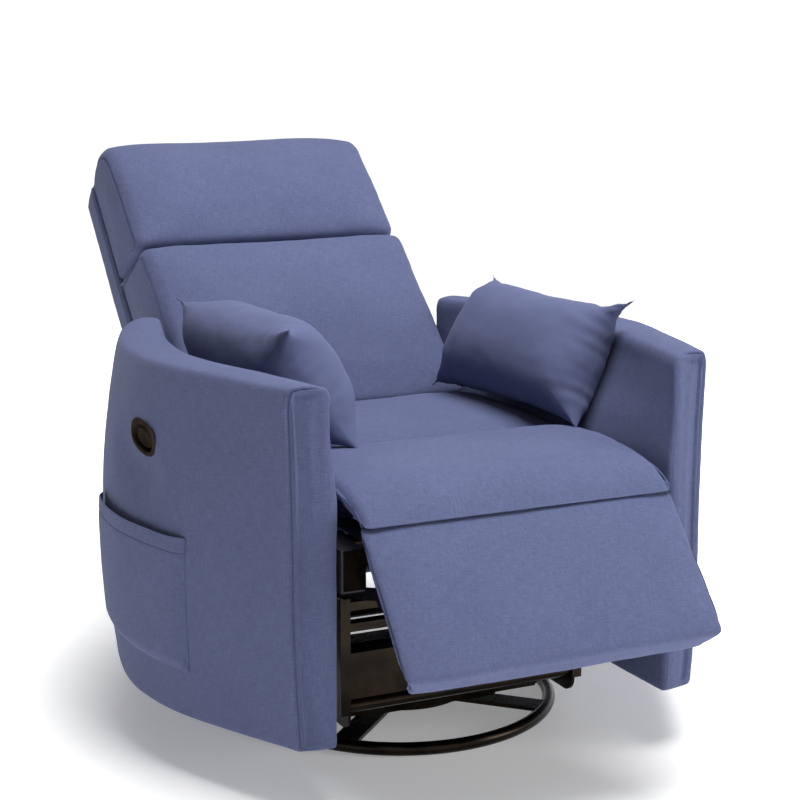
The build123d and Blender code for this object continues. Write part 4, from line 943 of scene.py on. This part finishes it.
def bezel_frame():
    """Centre of the bezel's rim, its long and short ways, and the way out of the arm."""
    bezel = frame["nodes"]["handle_bezel"]
    cloud = points_of(bezel)
    tilt = np.linalg.svd((cloud - cloud.mean(0))[:, :2], full_matrices=False)[2][1]
    out = np.array([tilt[0], tilt[1], 0.0]) * (-1 if tilt[0] > 0 else 1)
    proud = (cloud @ out).max()
    rim = cloud[cloud @ out > proud - 0.006]
    flat = rim - np.outer(rim @ out, out)
    long_way = np.linalg.svd(flat - flat.mean(0), full_matrices=False)[2][0]
    centre = (flat.min(0) + flat.max(0)) / 2
    up = long_way * np.sign(long_way[2])
    rear = np.cross(out, up)
    tilted = rear * cos(HANDLE_TILT) + up * sin(HANDLE_TILT)
    return centre + out * proud, tilted, np.cross(out, tilted), out


OVAL_POWER = 0.8


def rounded(half_long, half_wide, count=56):
    """Squarish oval, as points along the handle's long and wide ways."""
    turns = 2 * pi * np.arange(count) / count
    c, s = np.cos(turns), np.sin(turns)
    c, s = np.sign(c) * np.abs(c) ** OVAL_POWER, np.sign(s) * np.abs(s) ** OVAL_POWER
    return np.stack([half_long * c, half_wide * s], 1)


def handle_piece(name, rings, shift=(0.0, 0.0)):
    """Piece built of ovals, each (half long, half wide, how far out), in millimetres."""
    centre, long_way, wide_way, out = bezel_frame()
    rows = []
    for half_long, half_wide, rise in rings:
        flat = rounded(half_long, half_wide) * MM
        flat += np.array(shift) * MM
        across = np.outer(flat[:, 0], long_way) + np.outer(flat[:, 1], wide_way)
        rows.append(centre + across + out * rise * MM)
    patches = Patches()
    patches.add(np.stack(rows) / MM, closed=True)
    piece = patches.finish(name, PLASTIC)
    sub(piece)
    return piece


def handle():
    """Thick rim with a shallow cup, and the paddle in it."""
    edge = [(42, 21, -3), (45.6, 24.4, -2.6), (46, 24.8, -1.8), (45.9, 24.7, 0.2)]
    rim = [(45, 23.8, 1.0), (40.4, 19.4, 1.1), (39.4, 18.5, 0.6), (39, 18, -0.6)]
    cup = [(38.4, 17.4, -8), (37.6, 16.6, -14.5), (30, 12, -15.2), (0.4, 0.2, -15.2)]
    bezel = handle_piece("handle_bezel_rim", edge + rim + cup)
    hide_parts("handle_bezel")
    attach(bezel, "seat")
    under = [(0.4, 0.2, -9.4), (15, 7, -9.4), (26, 12, -9.4)]
    side = [(27.4, 13.4, -8.4), (27.4, 13.4, -5.4), (26.4, 12.4, -4.4)]
    dish = [(24.4, 10.4, -4.2), (22.6, 8.8, -5.0), (10, 4, -5.5), (0.4, 0.2, -5.6)]
    paddle = handle_piece("release_paddle", under + side + dish, (4.2, 1.8))
    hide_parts("release_lever")
    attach(paddle, "lever")


def cut_for_bezel(piece):
    """The arm's cover lies flat under the bezel's rim and is cut out inside it."""
    centre, long_way, wide_way, out = bezel_frame()
    points = points_of(piece)
    away = points - centre
    a, b, rise = away @ long_way, away @ wide_way, away @ out
    gap = np.hypot(np.maximum(np.abs(a) - 0.018, 0), b)
    share = np.clip((0.120 - gap) / 0.080, 0, 1)
    share = share * share * (3 - 2 * share)
    share[rise < -0.030] = 0
    put_points(piece, points - np.outer(share * np.maximum(rise + 0.0022, 0), out))
    bm = bmesh.new()
    count = 48
    flat = rounded(0.0415, 0.0205, count)
    ring = centre + np.outer(flat[:, 0], long_way) + np.outer(flat[:, 1], wide_way)
    for end in (-0.045, 0.02):
        bm.faces.new([bm.verts.new(point) for point in ring + out * end])
    bm.verts.ensure_lookup_table()
    for n in range(count):
        m = (n + 1) % count
        bm.faces.new([bm.verts[n], bm.verts[m], bm.verts[count + m], bm.verts[count + n]])
    bmesh.ops.recalc_face_normals(bm, faces=bm.faces)
    mesh = bpy.data.meshes.new("cutter")
    bm.to_mesh(mesh)
    bm.free()
    cutter = bpy.data.objects.new("cutter", mesh)
    scene.collection.objects.link(cutter)
    bpy.context.view_layer.update()
    applied(piece, "BOOLEAN", operation="DIFFERENCE", object=cutter, solver="EXACT")
    bpy.data.objects.remove(cutter)
    bpy.data.meshes.remove(mesh)


def cant_points(points):
    """Turns the arm's front panel outward and stands its inner edge more upright."""
    moved = np.array(points, float)
    share = np.clip((-0.25 - moved[:, 1]) / 0.12, 0, 1)
    reach = np.abs(moved[:, 0])
    moved[:, 1] += 0.17 * (reach - 0.303) * share * share
    inner = np.clip((0.312 - reach) / 0.03, 0, 1) * share * share
    lean = np.interp(moved[:, 2], (0.40, 0.50, 0.61), (0.007, 0.002, -0.009))
    moved[:, 0] += np.sign(moved[:, 0]) * lean * inner
    return moved


def dish_front(piece, edge):
    """The front panel is set back just inside its outer seam and rises toward its inner edge."""
    points, normals = points_of(piece), normals_of(piece)
    facing = np.clip((-normals[:, 1] - 0.55) / 0.3, 0, 1) * (points[:, 1] < -0.33)
    gap, _ = near(points, np.vstack([edge, edge[:1]]))
    outer = np.clip((np.abs(points[:, 0]) - 0.288) / 0.022, 0, 1)
    inset = np.interp(gap, (0, 0.005, 0.012, 0.036), (0, 0.0068, 0.0060, 0)) * outer
    put_points(piece, points - normals * (inset * facing)[:, None])


def arm(side):
    sign = -1 if side == "left" else 1

    def place(y, loop):
        return np.stack([sign * loop[:, 0], np.full(len(loop), y), loop[:, 1]], 1)

    piece, front, rear, counts = lofted(
        f"arm_{side}_cover", arm_section, np.linspace(ARM_Y[0], 417, 45), place, (8, 14), 2.5
    )
    put_points(piece, cant_points(points_of(piece)))
    sub(piece)
    front = cant_points(front)
    ripple(piece, 0.0015, 0.22, 21.0 + sign)
    ripple(piece, 0.0004, 0.05, 25.0 + sign)
    first = counts[0]
    seams = [loop_part(loop, first, first + counts[1] - 2) for loop in (front, rear)]
    stitch_in(piece, seams, depth=0.0015, width=0.003, pucker=0.0004, seed=31.0 + sign)
    dish_front(piece, front)
    if side == "left":
        cut_for_bezel(piece)
    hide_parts(f"arm_cover_{side}", f"arm_frame_{side}")
    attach(piece, "seat")


arm("left")
arm("right")
handle()


# ---------------------------------------------------------------- side pocket
def side_pocket():
    """Pocket sewn to the left arm on three sides, with a hem along its open top."""
    y0, y1, z0, z1 = -183.0, 128.0, 168.0, 372.0
    hem_down = 22
    ys = np.linspace(y0, y1, 64)
    zs = np.linspace(z0, z1, 44)

    def stand(y, z):
        """How far the pocket's cloth stands off the arm."""
        edge = min(y - y0, y1 - y, z - z0) / 16.0
        full = 9.5 + 2.0 * sin(pi * (y - y0) / (y1 - y0)) * (z - z0) / (z1 - z0)
        return 1.4 + (full - 1.4) * min(1.0, max(0.0, edge)) ** 0.6

    def point(y, z, out):
        return (-(outer_x(y, z) + out), y, z)

    outside = np.array([[point(y, z, stand(y, z)) for y in ys] for z in zs])
    inside = np.array([[point(y, z, max(0.6, stand(y, z) - 2.2)) for y in ys] for z in zs])
    rim = np.stack([outside[-1], (outside[-1] + inside[-1]) / 2 + np.array([0, 0, 1.6]), inside[-1]])
    patches = Patches()
    for grid in (outside, inside, rim):
        patches.add(grid)
    for pair in ((outside[0], inside[0]), (outside[:, 0], inside[:, 0]), (outside[:, -1], inside[:, -1])):
        patches.add(np.stack(pair))
    piece = patches.finish("side_pocket_cloth", COVER)
    sub(piece)
    hem = np.array([point(y, z1 - hem_down, stand(y, z1 - hem_down)) for y in ys]) * MM
    stitch_in(piece, [hem], depth=0.0008, width=0.0016, pucker=0.0006, reach=0.02, pitch=0.012, seed=41)
    ripple(piece, 0.0010, 0.07, 43.0)
    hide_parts("side_pocket")
    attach(piece, "seat")
    seam_line("side_pocket_hem_seam", piece, hem, "seat", 0.0005)
    border = [point(y0 + 5, z1, 3)] + [point(y0 + 5, z, 4) for z in np.linspace(z1 - 4, z0 + 10, 20)]
    border += [point(y, z0 + 5, 4) for y in np.linspace(y0 + 10, y1 - 10, 30)]
    border += [point(y1 - 5, z, 4) for z in np.linspace(z0 + 10, z1 - 2, 20)]
    seam_line("side_pocket_edge_seam", piece, np.array(border) * MM, "seat", 0.0005)


side_pocket()


# ---------------------------------------------------------------- rear panel
def rear_panel():
    def section(x):
        counts = [6, 20, 6, 20]
        bottom = [(380, 95), (394, 94), (408, 95)]
        rear = [(408, 95), (410, 205), (406, 311)]
        top = [(406, 311), (393, 314), (380, 313)]
        front = [(380, 313), (380, 205), (380, 95)]
        return four_sides(bottom, rear, top, front, counts), counts

    piece = lofted("rear_panel_cover", section, stations(262, 21), straight_place, (6, 6), 0.5)[0]
    sub(piece)
    ripple(piece, 0.0012, 0.2, 51.0)
    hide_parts("rear_panel")
    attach(piece, "seat")


rear_panel()


# ---------------------------------------------------------------- pillows
def pillow(side, place, lean, seed):
    """Plump pillow: two panels sewn round their edges, the edges drawn in between the corners.

    uu runs from the front end to the rear one and vv from the bottom edge to the top.
    The upper front corner is a thin point, and the upper rear one is blunt.
    """
    inward = 1 if side == "left" else -1
    long_half, high_half = 206.0, 113.0
    inner_bulge, outer_bulge = 80, 60
    u = np.sin(np.linspace(-pi / 2, pi / 2, 65))
    v = np.sin(np.linspace(-pi / 2, pi / 2, 41))
    uu, vv = np.meshgrid(u, v, indexing="ij")
    dip = 0.10 if side == "left" else 0.20
    y = long_half * uu * (1 - (0.15 + 0.06 * vv) * (1 - np.abs(vv) ** 3))
    h = high_half * vv * (1 - np.where(vv > 0, dip, 0.13) * (1 - np.abs(uu) ** 4))
    corner = np.clip((np.abs(uu * vv) - 0.55) / 0.45, 0, 1)
    blunt = corner * (uu > 0) * (vv > 0)
    y -= 15 * blunt
    h -= 9 * blunt
    y += 16 * corner * (uu > 0) * (vv < 0)
    rise = np.where(vv > 0, 2.2, 3.0)
    full = np.clip(1 - np.abs(uu) ** 5.0, 0, 1) ** 0.5 * np.clip(1 - np.abs(vv) ** rise, 0, 1) ** 0.5
    thin = np.clip((np.abs(uu * vv) - 0.45) / 0.55, 0, 1)
    full *= 1 - np.where(vv > 0, 0.8, 0.35) * thin
    front = np.stack([inward * inner_bulge * full, y, h], 2)
    back = np.stack([-inward * outer_bulge * full, y, h], 2)
    patches = Patches()
    patches.add(front)
    patches.add(back)
    piece = patches.finish(f"pillow_{side}_cover", PILLOW)
    sub(piece)
    inflate(piece, cap=0.020, shrink=0.002, pressure=5.0, voxel=0.005, keep=0.5)
    edge = np.concatenate([front[:, 0], front[-1, 1:], front[::-1, -1][1:], front[0, ::-1][1:]]) * MM
    pull_edges(piece, edge, seed)
    ripple(piece, 0.0030, 0.11, seed)
    ripple(piece, 0.0008, 0.035, seed + 2)
    turn = Matrix.Translation(Vector(place) * MM) @ Matrix.Rotation(radians(6), 4, "Z")
    piece.data.transform(turn @ Matrix.Rotation(radians(lean), 4, "Y"))
    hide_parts(f"pillow_{side}")
    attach(piece, f"pillow_{side}")


def pull_edges(piece, edge, seed):
    """Creases that run in from a pillow's seam, deepest near its corners."""
    points, normals = points_of(piece), normals_of(piece)
    gap, along = near(points, edge)
    across = np.array([noise.noise(Vector((a / 0.014, seed, 0.3))) for a in along])
    wide = np.array([noise.noise(Vector((a / 0.034, seed + 4, g / 0.09))) for a, g in zip(along, gap)])
    fade = np.exp(-gap / 0.034) * (1 - np.exp(-gap / 0.007))
    ends = np.clip((np.abs(points[:, 1]) - 0.09) / 0.09, 0, 1)
    shift = (0.0030 * across + 0.0044 * wide) * fade * (0.3 + 1.1 * ends)
    put_points(piece, points + normals * shift[:, None])


pillow("right", (257.0, 32.0, 569.2), 29.0, 61.0)
pillow("left", (-230.0, 17.0, 571.8), -31.0, 67.0)


# ---------------------------------------------------------------- floor and light
# Painted light: the floor's own glow by distance from the middle, in metres, weaker near the chair
FLOOR_GLOW = {"From Min": 0.38, "From Max": 1.05, "To Min": 0.25, "To Max": 1.0}


def stage_floor():
    """Round pale floor with a painted glow, weaker near the chair, that turns it plain white about a metre
    out.
    """
    patches = Patches()
    turns = np.linspace(0, 2 * pi, 65)
    radii = np.array([1.0, 400.0, 1200.0, 2200.0, 4000.0])
    east, north = np.outer(radii, np.cos(turns)), np.outer(radii, np.sin(turns))
    patches.add(np.stack([east, north, np.zeros(east.shape)], 2))
    material, tree, shader = new_material("pale_floor_painted_glow")
    shader.inputs["Base Color"].default_value = (0.93, 0.93, 0.93, 1)
    shader.inputs["Roughness"].default_value = 0.85
    shader.inputs["Specular IOR Level"].default_value = 0.2
    shader.inputs["Emission Color"].default_value = (1, 1, 1, 1)
    place = node(tree, "ShaderNodeTexCoord")
    reach = node(tree, "ShaderNodeVectorMath", operation="LENGTH")
    link(tree, place, reach, "Object", 0)
    glow = node(tree, "ShaderNodeMapRange")
    glow.interpolation_type = "SMOOTHSTEP"
    for name, value in FLOOR_GLOW.items():
        glow.inputs[name].default_value = value
    link(tree, reach, glow, "Value", "Value")
    # The floor's glow is painted light, not a lamp.
    link(tree, glow, shader, "Result", "Emission Strength")
    floor = patches.finish("studio_floor", material)
    floor.location.z = -0.0005


def area_light(name, place, target, size, power):
    data = bpy.data.lights.new(name, "AREA")
    data.shape = "RECTANGLE"
    data.size, data.size_y = size
    data.energy = power
    lamp = bpy.data.objects.new(name, data)
    lamp.location = place
    lamp.rotation_euler = (Vector(target) - Vector(place)).to_track_quat("-Z", "Y").to_euler()
    scene.collection.objects.link(lamp)


def backdrop():
    """White surround that the camera sees and that casts no light on the chair."""
    bm = bmesh.new()
    bmesh.ops.create_uvsphere(bm, u_segments=48, v_segments=24, radius=28)
    mesh = bpy.data.meshes.new("studio_backdrop")
    bm.to_mesh(mesh)
    bm.free()
    dome = bpy.data.objects.new("studio_backdrop", mesh)
    scene.collection.objects.link(dome)
    material, _, shader = new_material("white_backdrop")
    shader.inputs["Base Color"].default_value = (0, 0, 0, 1)
    shader.inputs["Emission Color"].default_value = (1, 1, 1, 1)
    shader.inputs["Emission Strength"].default_value = 1.0
    mesh.materials.append(material)
    dome.visible_diffuse = False
    dome.visible_shadow = False


stage_floor()
backdrop()
LIGHTS = (
    ("top_softbox", (0.2, -0.6, 3.2), (1.9, 1.9), 128),
    ("low_key", (2.2, -1.8, 0.9), (1.0, 1.0), 32),
    ("left_fill", (-2.4, -2.4, 1.6), (1.4, 1.4), 3),
    ("rear_top", (0.0, 2.2, 2.6), (1.6, 1.0), 6),
)
for name, place, size, power in LIGHTS:
    area_light(name, place, (0, 0, 0.5), size, power)
world = bpy.data.worlds.new("studio")
world.use_nodes = True
world.node_tree.nodes["Background"].inputs[0].default_value = (1, 1, 1, 1)
world.node_tree.nodes["Background"].inputs[1].default_value = 0.04
scene.world = world
scene.view_settings.view_transform = "Standard"
